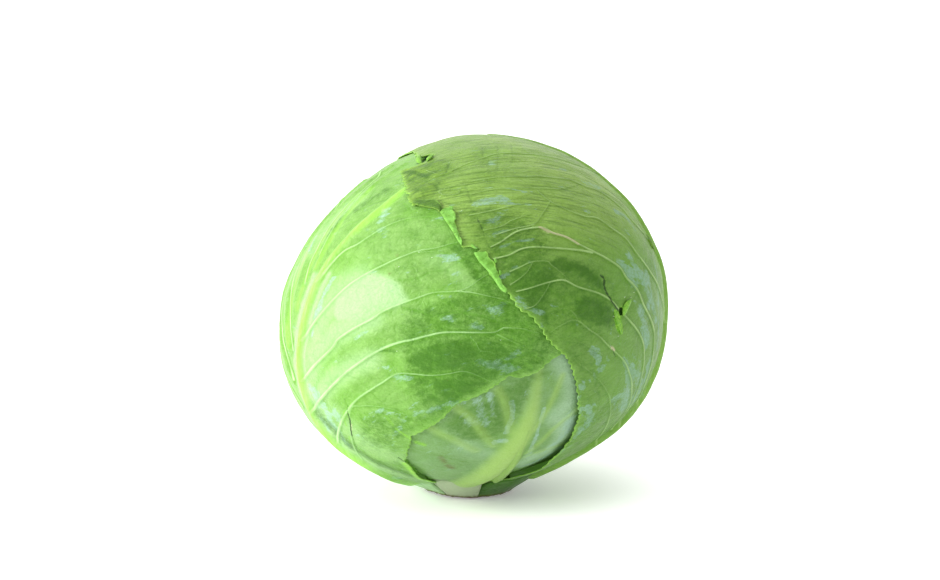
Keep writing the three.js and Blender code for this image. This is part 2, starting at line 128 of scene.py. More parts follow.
def spline(p, step):
    """Smooth (Catmull-Rom) curve through points, as points about step apart."""
    if len(p) == 2:
        fine = p[0] + (p[1] - p[0]) * np.linspace(0, 1, 200)[:, None]
    else:
        fine = []
        t = np.linspace(0, 1, 40, endpoint=False)[:, None]
        for i in range(len(p) - 1):
            a, b, c, d = p[max(i - 1, 0)], p[i], p[i + 1], p[min(i + 2, len(p) - 1)]
            v, w = (c - a) / 2, (d - b) / 2
            fine.append((2 * b - 2 * c + v + w) * t ** 3 + (-3 * b + 3 * c - 2 * v - w) * t ** 2 + v * t + b)
        fine = np.vstack(fine + [p[-1:]])
    run = np.concatenate([[0], np.cumsum(np.hypot(*np.diff(fine, axis=0).T))])
    s = np.linspace(0, run[-1], max(1, round(run[-1] / step)) + 1)
    return np.stack([np.interp(s, run, fine[:, k]) for k in (0, 1)], -1)


def loop(numbers, step):
    p = pairs(numbers)
    return spline(np.vstack([p, p[:1]]), step)[:-1]


def unit(v):
    return v / np.maximum(np.hypot(*v.T), 1e-9)[:, None]


def inside(points, ring):
    odd = np.zeros(len(points), bool)
    for (au, av), (bu, bv) in zip(ring, np.roll(ring, -1, axis=0)):
        if av != bv:
            cross = (av > points[:, 1]) != (bv > points[:, 1])
            odd ^= cross & (points[:, 0] < au + (bu - au) * (points[:, 1] - av) / (bv - av))
    return odd


# ---- a raster of a leaf's plane, for distances and strokes ----

CELL = 0.25
REACH = 190.0
SIDE = int(2 * REACH / CELL)
LINE_STEP = 0.4


class Raster:
    def __init__(self, fill=0.0):
        self.v = np.full((SIDE, SIDE), fill, np.float32)

    def stamp(self, p, radius, write):
        """write(window, distances) is called for the cells round p."""
        cu, cv = (np.asarray(p) + REACH) / CELL
        r = int(radius / CELL) + 2
        u0, v0 = int(cu) - r, int(cv) - r
        if min(u0, v0) >= 0 and max(u0, v0) + 2 * r < SIDE:
            u = (np.arange(u0, u0 + 2 * r) - cu) * CELL
            v = (np.arange(v0, v0 + 2 * r) - cv) * CELL
            write(self.v[v0:v0 + 2 * r, u0:u0 + 2 * r], np.hypot(u[None, :], v[:, None]))

    def at(self, uv):
        g = np.clip((uv + REACH) / CELL, 0, SIDE - 2)
        (i, j), (f, h) = g.astype(int).T, (g - g.astype(int)).T
        low = self.v[j, i] * (1 - f) + self.v[j, i + 1] * f
        high = self.v[j + 1, i] * (1 - f) + self.v[j + 1, i + 1] * f
        return low * (1 - h) + high * h


def distance_raster(lines, reach):
    field = Raster(reach)
    for line in lines:
        for p in line:
            field.stamp(p, reach, lambda w, d: np.minimum(w, d, out=w))
    return field


def vein(numbers):
    """A line with its half width and height at the root, the same at the tip, and then its points."""
    width, height, tip_width, tip_height, *line = numbers
    return dict(line=spline(pairs(line), LINE_STEP), width=width, height=height, tip_width=tip_width,
                tip_height=tip_height)


def round_top(q):
    return np.cos(np.pi / 2 * q) ** 2


def soft_top(q):
    return (1 - q * q) ** 2


def ridge_raster(veins, profile, grow=1.0):
    """Highest of the veins' profiles: profile(distance / half width) times the vein's height."""
    field = Raster()
    for v in veins:
        for t, p in zip(np.linspace(0, 1, len(v["line"])), v["line"]):
            half = grow * (v["width"] * (1 - t) + v["tip_width"] * t)
            top = v["height"] * (1 - t) + v["tip_height"] * t
            field.stamp(p, half, lambda w, d: np.maximum(w, top * profile(np.minimum(d / half, 1)), out=w))
    return field


def paint_raster(brushes, areas):
    """Soft brush strokes (half width, strength, points) and filled areas (softness, strength, points)."""
    field = ridge_raster([vein((width, strength, width, strength, *line)) for width, strength, *line in brushes],
                         soft_top)
    for soft, strength, *line in areas:
        ring = loop(line, 0.5)
        near = distance_raster([ring], 2 * soft)
        low, high = (((f(ring, axis=0) + REACH) / CELL).astype(int) + d for f, d in ((np.min, -16), (np.max, 16)))
        v, u = np.mgrid[low[1]:high[1], low[0]:high[0]]
        side = np.where(inside(np.stack([u.ravel(), v.ravel()], -1) * CELL - REACH, ring), 1.0, -1.0)
        window = (slice(low[1], high[1]), slice(low[0], high[0]))
        t = np.clip(0.5 + 0.5 * side.reshape(u.shape) * near.v[window] / soft, 0, 1)
        field.v[window] = np.maximum(field.v[window], strength * t * t * (3 - 2 * t))
    return field


# ---- noise for relief ----

@cache
def noise_table(seed):
    return np.random.default_rng(seed).uniform(-1, 1, (256, 256))


def value_noise(uv, size, seed):
    """Smooth value noise, -1 to 1, with cells of the given size."""
    table = noise_table(seed)
    g = uv / size + 64
    i = np.floor(g).astype(int)
    f, h = (g - i).T
    f, h = f * f * (3 - 2 * f), h * h * (3 - 2 * h)
    (i, j), (k, m) = (i % 256).T, ((i + 1) % 256).T
    low = table[j, i] * (1 - f) + table[j, k] * f
    high = table[m, i] * (1 - f) + table[m, k] * f
    return low * (1 - h) + high * h


def layered_noise(uv, size, seed, octaves=3):
    return sum(value_noise(uv, size / 2 ** k, seed + k) / 2 ** k for k in range(octaves))


def along_noise(run, size, seed, octaves=3, row=0.0):
    return layered_noise(np.stack([run, 0 * run + row], -1), size, seed, octaves)


# ---- meshes ----

KINDS = ("olive", "line", "drop", "brown", "fresh", "stem", "dark", "crack", "wax", "scar", "pale", "yellow", "lip")


def tube(rows, size, flip=False):
    """Faces of a closed tube: rings of points, followed by the middles of its first and last ring."""
    k, end = np.arange(size), rows * size
    n = np.roll(k, -1)
    side = np.stack([k, n, n + size, k, n + size, k + size], -1).reshape(-1, 3)
    side = (side + size * np.arange(rows - 1)[:, None, None]).reshape(-1, 3)
    first = np.stack([0 * k + end, n, k], -1)
    last = np.stack([0 * k + end + 1, k + end - size, n + end - size], -1)
    faces = np.vstack([side, first, last])
    return faces[:, ::-1] if flip else faces


def link(thing):
    bpy.context.scene.collection.objects.link(thing)
    return thing


def make_piece(name, points, faces, co=None, data=None):
    mesh = bpy.data.meshes.new(name)
    mesh.vertices.add(len(points))
    mesh.vertices.foreach_set("co", (points * MM).astype(np.float32).ravel())
    mesh.loops.add(3 * len(faces))
    mesh.loops.foreach_set("vertex_index", faces.astype(np.int32).ravel())
    mesh.polygons.add(len(faces))
    mesh.polygons.foreach_set("loop_start", np.arange(0, 3 * len(faces), 3, dtype=np.int32))
    mesh.polygons.foreach_set("use_smooth", np.ones(len(faces), bool))
    mesh.update(calc_edges=True)
    if co is not None:
        layer = mesh.attributes.new("plane", "FLOAT_VECTOR", "POINT")
        layer.data.foreach_set("vector", np.column_stack([co, np.zeros(len(co))]).astype(np.float32).ravel())
    for kind, values in (data or {}).items():
        mesh.attributes.new(kind, "FLOAT", "POINT").data.foreach_set("value", values.astype(np.float32))
    return link(bpy.data.objects.new(name, mesh))


# ---- a leaf ----

BLADE = 0.6  # thickness
FINE, MEDIUM, COARSE, BACK_RIM = 0.6, 1.35, 4.5, 1.5  # spacing of the points
LATTICE = 178.0
COVERED = 6.0  # how far inside the leaf above it a leaf's mesh turns coarse
SOFT_PAINT = ("dark", "olive")  # needs no finer mesh
MARGIN_STEP, HOLE_STEP, HIDDEN_STEP = 0.6, 0.7, 4.0
WOBBLE, SCALLOP_WOBBLE = (6.0, 11, 4), (9.0, 17, 1)  # size, seed and octaves of the noise, as below
SCALLOP_PITCH = 1.5
WAVE_HEIGHT, WAVES = 0.45, (7.0, 5, 2)
SWELL_HEIGHT, SWELLS = 0.35, (26.0, 21, 2)
DIMPLE_HEIGHT, DIMPLES = 0.1, (8.0, 31, 2)
QUILT_HEIGHT, QUILT_WIDTH, HUG, SETTLE = 0.45, 4.5, 0.5, 0.2
PAINT_WIDTH, HALO_WIDTH = 1.3, 2.6  # times the vein's width
CRACK_DEPTH, RIM_OUT = 0.35, 0.22
DROP_LENGTH = (0.4, 0.1)
LOBE_SIDES = 12
FOOT_STEP, FOOT_REACH, BROWN_BELOW = 2.5, (0, 5, 10, 15), 2.3
LIP_RADIUS, LIP_FLAT, LIP_STEP = 0.75, 10, 0.5


class Leaf:
    """A leaf drawn in its own plane: a closed blade with veins in relief, rolled lips, scraps and a foot."""

    def __init__(self, name, plane, lift, outline, veins, holes=(), rises=(), lips=(), over=(), ragged=0.4, folds=(),
                 lobes=(), drop=0.0, drops=(), feet=(), soft=0.75, brushes=None, areas=None):
        self.name, self.plane, self.lift = name, Plane(*plane), float(lift)
        self.rises, self.lips, self.over, self.ragged, self.feet = rises, lips, over, ragged, feet
        self.lobes = list(lobes) + [("drop", drop, *[drop - 0.05] * 3, u, v, u + DROP_LENGTH[0], v + DROP_LENGTH[1])
                                    for u, v in pairs(drops)]
        self.veins = [vein(numbers) for numbers in veins]
        self.open_lines = []
        self.ring = np.vstack([self.trace(kind, numbers) for kind, *numbers in outline])
        self.rings = [self.ring] + [loop(hole, HOLE_STEP) for hole in holes]
        self.margin = distance_raster(self.open_lines + self.rings[1:], 9.0)
        self.ridge = ridge_raster(self.veins, round_top)
        self.folds = ridge_raster([vein(numbers) for numbers in folds], round_top)
        rib, *side = self.veins
        top = max([v["height"] for v in side] + [0.1])
        thin = [dict(v, height=(v["height"] / top) ** 0.5, tip_height=(v["tip_height"] / top) ** 0.5,
                     width=v["width"] * soft, tip_width=v["tip_width"] * soft) for v in side]
        self.paint = ridge_raster(thin, soft_top, PAINT_WIDTH)
        self.halo = ridge_raster([dict(v, line=v["line"][::2] - (0, 0.4)) for v in thin], soft_top, HALO_WIDTH)
        # painted shade: a darker band along the lower side of each side vein
        self.shade = ridge_raster([dict(v, line=v["line"] - (0, 0.75), width=0.75, tip_width=0.7,
                                        height=v["height"] * 0.5) for v in thin], soft_top)
        self.rib = ridge_raster([dict(rib, height=1.0, tip_height=0.45)], lambda q: (1 - q * q) ** 1.1)
        self.valley = distance_raster([v["line"][::3] for v in self.veins], 10.0)
        brushes, areas = brushes or {}, areas or {}
        self.strokes = {kind: paint_raster(brushes.get(kind, ()), areas.get(kind, ()))
                        for kind in KINDS if kind in brushes or kind in areas}

    def trace(self, kind, numbers):
        """One stretch of the outline, which the next one goes on from."""
        if kind == "stump":
            start, end = numbers
            line = []
            for azimuth in np.linspace(start, end, int(abs(end - start) / 4)):
                lift = self.lift
                for _ in range(4):
                    p = self.plane.from_direction(stump_direction(azimuth, lift)[None])
                    lift = self.base_lift(p)[0]
                line.append(p[0])
            return np.array(line)
        line = pairs(numbers)
        if kind == "hidden":
            return spline(line, HIDDEN_STEP)[:-1]
        if kind == "cut":
            line = np.vstack([spline(line[i:i + 2], MARGIN_STEP)[:-1] for i in range(len(line) - 1)] + [line[-1:]])
        else:
            line = spline(line, MARGIN_STEP)
        run = np.arange(len(line)) * MARGIN_STEP
        side = unit(np.gradient(line, axis=0))[:, ::-1] * (1, -1)
        ends = np.clip(np.minimum(run, run[::-1]) / 4, 0, 1)
        wobble = along_noise(run, *WOBBLE, self.lift * 37)
        scallop = np.sin(run * SCALLOP_PITCH + 2.5 * along_noise(run, *SCALLOP_WOBBLE))
        line = line + side * (self.ragged * ends * (wobble + 0.6 * scallop))[:, None]
        self.open_lines.append(line)
        return line[:-1]

    def base_lift(self, uv):
        lift = np.full(len(uv), self.lift)
        for u, v, height, spread in self.rises:
            lift += height * np.exp(-((uv[:, 0] - u) ** 2 + (uv[:, 1] - v) ** 2) / spread ** 2)
        return lift

    def smooth_lift(self, uv):
        """Lift without the veins: quilted between them, waved at the margin and hugging the leaf below."""
        edge = self.margin.at(uv)
        waves = WAVE_HEIGHT * np.exp(-edge / 3.0) * (layered_noise(uv, *WAVES) + 0.5) - HUG * np.exp(-edge / 4.0)
        quilt = QUILT_HEIGHT * (1 - np.exp(-(self.valley.at(uv) / QUILT_WIDTH) ** 2))
        swell = SWELL_HEIGHT * layered_noise(uv, *SWELLS) + DIMPLE_HEIGHT * layered_noise(uv, *DIMPLES)
        return self.base_lift(uv) + waves + np.clip(edge / 8, 0.25, 1) * (quilt + swell) - SETTLE

    def surface(self, uv, lift):
        return envelope(self.plane.to_direction(uv), lift)

    def covered(self, uv):
        n = self.plane.to_direction(uv)
        hidden = np.zeros(len(uv), bool)
        for leaf in self.over:
            q = leaf.plane.from_direction(n)
            hidden |= inside(q, leaf.ring) & (leaf.margin.at(q) > COVERED)
        return hidden

    def lattice(self, spacing):
        u, v = (np.arange(-LATTICE, LATTICE, step) for step in (spacing, spacing * math.sqrt(3) / 2))
        grid = np.stack(np.meshgrid(u, v), -1)
        grid[1::2, :, 0] += spacing / 2
        points = grid.reshape(-1, 2)
        points += np.random.default_rng(int(spacing * 100)).uniform(-0.04, 0.04, points.shape) * spacing
        points = points[inside(points, self.ring)]
        for hole in self.rings[1:]:
            points = points[~inside(points, hole)]
        return points

    def triangulate(self, parts, gap):
        """Triangles between the rings' points, which come first, and the filling points that are clear of them."""
        points = np.vstack(parts)
        points = points[distance_raster(self.rings, gap + 1).at(points) > gap]
        n = sum(map(len, self.rings))
        edges, start = [], 0
        for ring in self.rings:
            edges += [(start + i, start + (i + 1) % len(ring)) for i in range(len(ring))]
            start += len(ring)
        everything = np.vstack(self.rings + [points])
        vertices, _, faces, *_ = delaunay_2d_cdt([Vector(p) for p in everything.tolist()], edges, [], 0, 1e-7)
        assert len(vertices) == len(everything), "outline crosses itself"
        faces = np.array([f for f in faces if len(f) == 3])
        keep = ~(faces < n).all(1)
        test = np.where(~keep)[0]
        middle = everything[faces[test]].mean(1)
        keep[test] = inside(middle, self.ring)
        for hole in self.rings[1:]:
            keep[test] &= ~inside(middle, hole)
        faces = faces[keep]
        a, b, c = (everything[faces[:, k]] for k in range(3))
        turn = (b[:, 0] - a[:, 0]) * (c[:, 1] - a[:, 1]) - (b[:, 1] - a[:, 1]) * (c[:, 0] - a[:, 0])
        faces[turn < 0] = faces[turn < 0][:, ::-1]
        return everything, faces

    def build(self):
        rim = sum(map(len, self.rings))
        parts = [self.lattice(COARSE)]
        parts[0] = parts[0][self.covered(parts[0])]
        for spacing, near in ((MEDIUM, False), (FINE, True)):
            points = self.lattice(spacing)
            busy = (self.ridge.at(points) > 0.02) | (self.margin.at(points) < 2.2)
            for kind, field in self.strokes.items():
                if kind not in SOFT_PAINT:
                    busy |= field.at(points) > 0.25
            points = points[busy == near]
            parts.append(points[~self.covered(points)])
        outer_uv, outer_faces = self.triangulate(parts, 0.3)
        coarse, close = self.lattice(COARSE), self.lattice(BACK_RIM)
        inner_uv, inner_faces = self.triangulate(
            [coarse[self.margin.at(coarse) >= 7.0], close[self.margin.at(close) < 7.0]], 0.8)

        relief = self.ridge.at(outer_uv) + self.folds.at(outer_uv)
        if "crack" in self.strokes:
            relief = relief - CRACK_DEPTH * self.strokes["crack"].at(outer_uv)
        top = self.surface(outer_uv, self.smooth_lift(outer_uv) + relief)
        below = self.surface(inner_uv, self.smooth_lift(inner_uv) + self.folds.at(inner_uv) - BLADE)
        # the rim is rounded: its middle stands out a little from both faces
        n_top, n_mid = len(top), len(top) + rim
        border = outer_faces[(outer_faces < rim).sum(1) >= 2]
        used = {tuple(pair) for ends in ((0, 1), (1, 2), (2, 0)) for pair in border[:, ends].tolist()}
        out, stitch, start = [], [], 0
        for ring in self.rings:
            away = unit(np.roll(ring, -1, axis=0) - np.roll(ring, 1, axis=0))[:, ::-1] * (1, -1)
            u, v = ring.T
            turn = 1 if np.sum(u * np.roll(v, -1) - np.roll(u, -1) * v) > 0 else -1
            out.append(away * (turn if start == 0 else -turn))
            for i in range(len(ring)):
                a, b = start + i, start + (i + 1) % len(ring)
                if (a, b) not in used:
                    a, b = b, a
                for low, high in ((n_top, 0), (n_mid, n_top)):
                    stitch += [(b + high, a + high, a + low), (b + high, a + low, b + low)]
            start += len(ring)
        rim_uv = outer_uv[:rim]
        middle = self.surface(rim_uv + RIM_OUT * np.vstack(out), self.smooth_lift(rim_uv) - BLADE / 2)

        co = np.vstack([outer_uv, rim_uv, inner_uv])
        edge = np.exp(-np.concatenate([self.margin.at(outer_uv), np.zeros(rim), np.full(len(inner_uv), 9.0)]) / 0.5)
        data = dict(vein=self.paint.at(co), rib=self.rib.at(co), halo=self.halo.at(co), edge=edge)
        for kind in KINDS:
            data[kind] = self.strokes[kind].at(co) if kind in self.strokes else np.zeros(len(co))
        # the line paint also carries the painted shade below the veins
        data["line"] = np.maximum(data["line"], 0.7 * self.shade.at(co))
        data["under"] = np.concatenate([np.zeros(n_mid), np.ones(len(inner_uv))])
        pieces = [(np.vstack([top, middle, below]), np.vstack([outer_faces, inner_faces[:, ::-1] + n_mid, stitch]),
                   co, data)]
        pieces += [self.lip(*lip) for lip in self.lips] + [self.lobe(*lobe) for lobe in self.lobes]
        pieces += [self.foot(*foot) for foot in self.feet]
        starts = np.cumsum([0] + [len(p) for p, *_ in pieces])
        points, faces, co = (np.vstack(parts) for parts in zip(*[
            (p, f + start, c) for (p, f, c, _), start in zip(pieces, starts)]))
        data = {kind: np.concatenate([values.get(kind, np.zeros(len(p))) for p, _, _, values in pieces])
                for kind in data}
        return make_piece(self.name, points, faces, co, data)

    def lobe(self, tint, half, thick, rise, tip_rise, *numbers):
        """A small curled tab or nub: a flattened, tapering body that lies or stands on the leaf."""
        path = spline(pairs(numbers), 0.3)
        t = np.linspace(0, 1, len(path))
        across = unit(np.gradient(path, axis=0))[:, ::-1] * (1, -1)
        swell = np.sin(np.pi * (0.03 + 0.94 * t)) ** 0.6
        lift = self.smooth_lift(path) + rise + (tip_rise - rise) * t
        points, co = [], []
        for turn in np.arange(LOBE_SIDES) * 2 * math.pi / LOBE_SIDES:
            uv = path + across * (half * swell * math.cos(turn))[:, None]
            points.append(self.surface(uv, lift + thick * swell * math.sin(turn)))
            co.append(uv)
        ends = path[[0, -1]]
        points = np.vstack([np.stack(points, 1).reshape(-1, 3), self.surface(ends, lift[[0, -1]])])
        co = np.vstack([np.stack(co, 1).reshape(-1, 2), ends])
        return points, tube(len(path), LOBE_SIDES), co, {tint: np.ones(len(points)), "under": np.full(len(points), 0.3)}

    def foot(self, start, end, tint, start_taper=0, end_taper=0):
        """The foot of the leaf: a wedge from its underside down to the side of the stump."""
        rows = []
        for azimuth in np.linspace(start, end, round((end - start) / FOOT_STEP)):
            wide, low = (along_noise(np.array([azimuth]), *noise)[0] for noise in ((9.0, 81), (7.0, 83, 3, 7.0)))
            wide, low = 1 + 0.12 * wide, 0.8 + 0.35 * low
            for ahead, taper in ((azimuth - start, start_taper), (end - azimuth, end_taper)):
                wide *= min(1, 0.15 + 0.85 * ahead / taper) if taper else 1
            z = {}
            for out in FOOT_REACH:
                lift = self.lift
                for _ in range(2):
                    uv = self.plane.from_direction(stump_direction(azimuth, lift, out * wide)[None])
                    lift = self.smooth_lift(uv)[0]
                z[out] = self.surface(uv, np.array([lift]))[0, 2]
            section = [(15, z[15] + 0.3)]
            for r in (13, 10, 7.5, 5, 3.2, 2):
                t = (r - 2) / 13
                section.append((r, (low + 1.0) * (1 - t) + z[15] * t - 0.5 * math.sin(3.0 * t) ** 2))
            section += [(1.45, low + 0.4), (0.9, low), (0.3, low + 0.1), (0.25, z[0] * 0.5), (0.25, z[0] + 0.2),
                        (5, z[5] + 0.35), (10, z[10] + 0.35)]
            a = math.radians(azimuth)
            reach = stump_radius(a) + CLEAR
            rows.append([((reach + r * wide) * math.sin(a), -(reach + r * wide) * math.cos(a), h) for r, h in section])
        points = np.vstack(rows)
        heights = np.append(points[:, 2], [3.0, 3.0])
        points = np.vstack([points, np.mean(rows[0], 0), np.mean(rows[-1], 0)])
        co = np.stack([np.arctan2(points[:, 0], -points[:, 1]) * 20, points[:, 2]], -1)
        return points, tube(len(rows), len(section), True), co, {
            tint: np.clip(heights / 3, 0.3, 1), "brown": np.clip(BROWN_BELOW - heights, 0, 1)}

    def lip(self, tint, *numbers):
        """A margin rolled out and folded back over the leaf, from points of the fold and of the margin."""
        line = pairs(numbers)
        fold, back = spline(line[::2], LIP_STEP), spline(line[1::2], LIP_STEP)
        s = np.linspace(0, 1, len(fold))
        back = np.stack([np.interp(s, np.linspace(0, 1, len(back)), back[:, k]) for k in (0, 1)], -1)
        run = s * len(fold) * LIP_STEP
        wobble = along_noise(run, 5.0, 71)
        along = unit(back - fold)
        width = np.maximum(np.hypot(*(back - fold).T) * (1 + 0.12 * wobble), 0.9)
        turn = np.radians(np.linspace(-90, -265, 12))
        roll = np.stack([LIP_RADIUS * np.cos(turn) + 0.2, LIP_RADIUS * (1 + np.sin(turn)) - BLADE / 2,
                         -np.cos(turn), -np.sin(turn)], -1)
        roll = np.vstack([(1.1, -BLADE / 2, 0.0, 1.0), roll])
        top_x, top_z = roll[-1, :2]
        lift = self.smooth_lift(fold)
        t = np.arange(1, LIP_FLAT + 1) / LIP_FLAT
        points, co = [], []
        for i in range(len(fold)):
            x = top_x + (max(width[i], top_x + 0.5) - top_x) * t
            ripple = 0.25 * np.sin(run[i] * 0.9 + 2 * t) * t + 0.35 * wobble[i] * t * t
            section = np.vstack([roll, np.stack([x, top_z - 0.35 * t + ripple, 0 * t, 0 * t - 1], -1)])
            thick = np.full(len(section), BLADE * 0.4)
            thick[-1] *= 0.55
            for side in (thick, -thick):
                uv = fold[i] + along[i] * (section[:, 0] + side * section[:, 2])[:, None]
                points.append(self.surface(uv, lift[i] + section[:, 1] + side * section[:, 3]))
                co.append(uv)
        m, size = len(section), 2 * len(section)
        ring = np.r_[0:m, size - 1:m - 1:-1]
        sides = tube(len(fold), size)[:2 * size * (len(fold) - 1)]
        sides = sides // size * size + ring[sides % size]
        k, last = np.arange(m - 1), (len(fold) - 1) * size
        caps = [(k, k + m, k + m + 1), (k, k + m + 1, k + 1)]
        caps += [(last + a, last + c, last + b) for a, b, c in caps]
        faces = np.vstack([sides] + [np.stack(cap, -1) for cap in caps])
        column = np.tile(np.arange(m), 2 * len(fold))
        return np.vstack(points), faces, np.vstack(co), {
            "under": np.full(len(column), 0.0 if tint == "dark" else 1.0), "edge": (column >= m - 2) * 1.0,
            tint: np.clip((column - 6) / 4, 0, 1)}


# ---- the leaves' drawings, in their planes ----

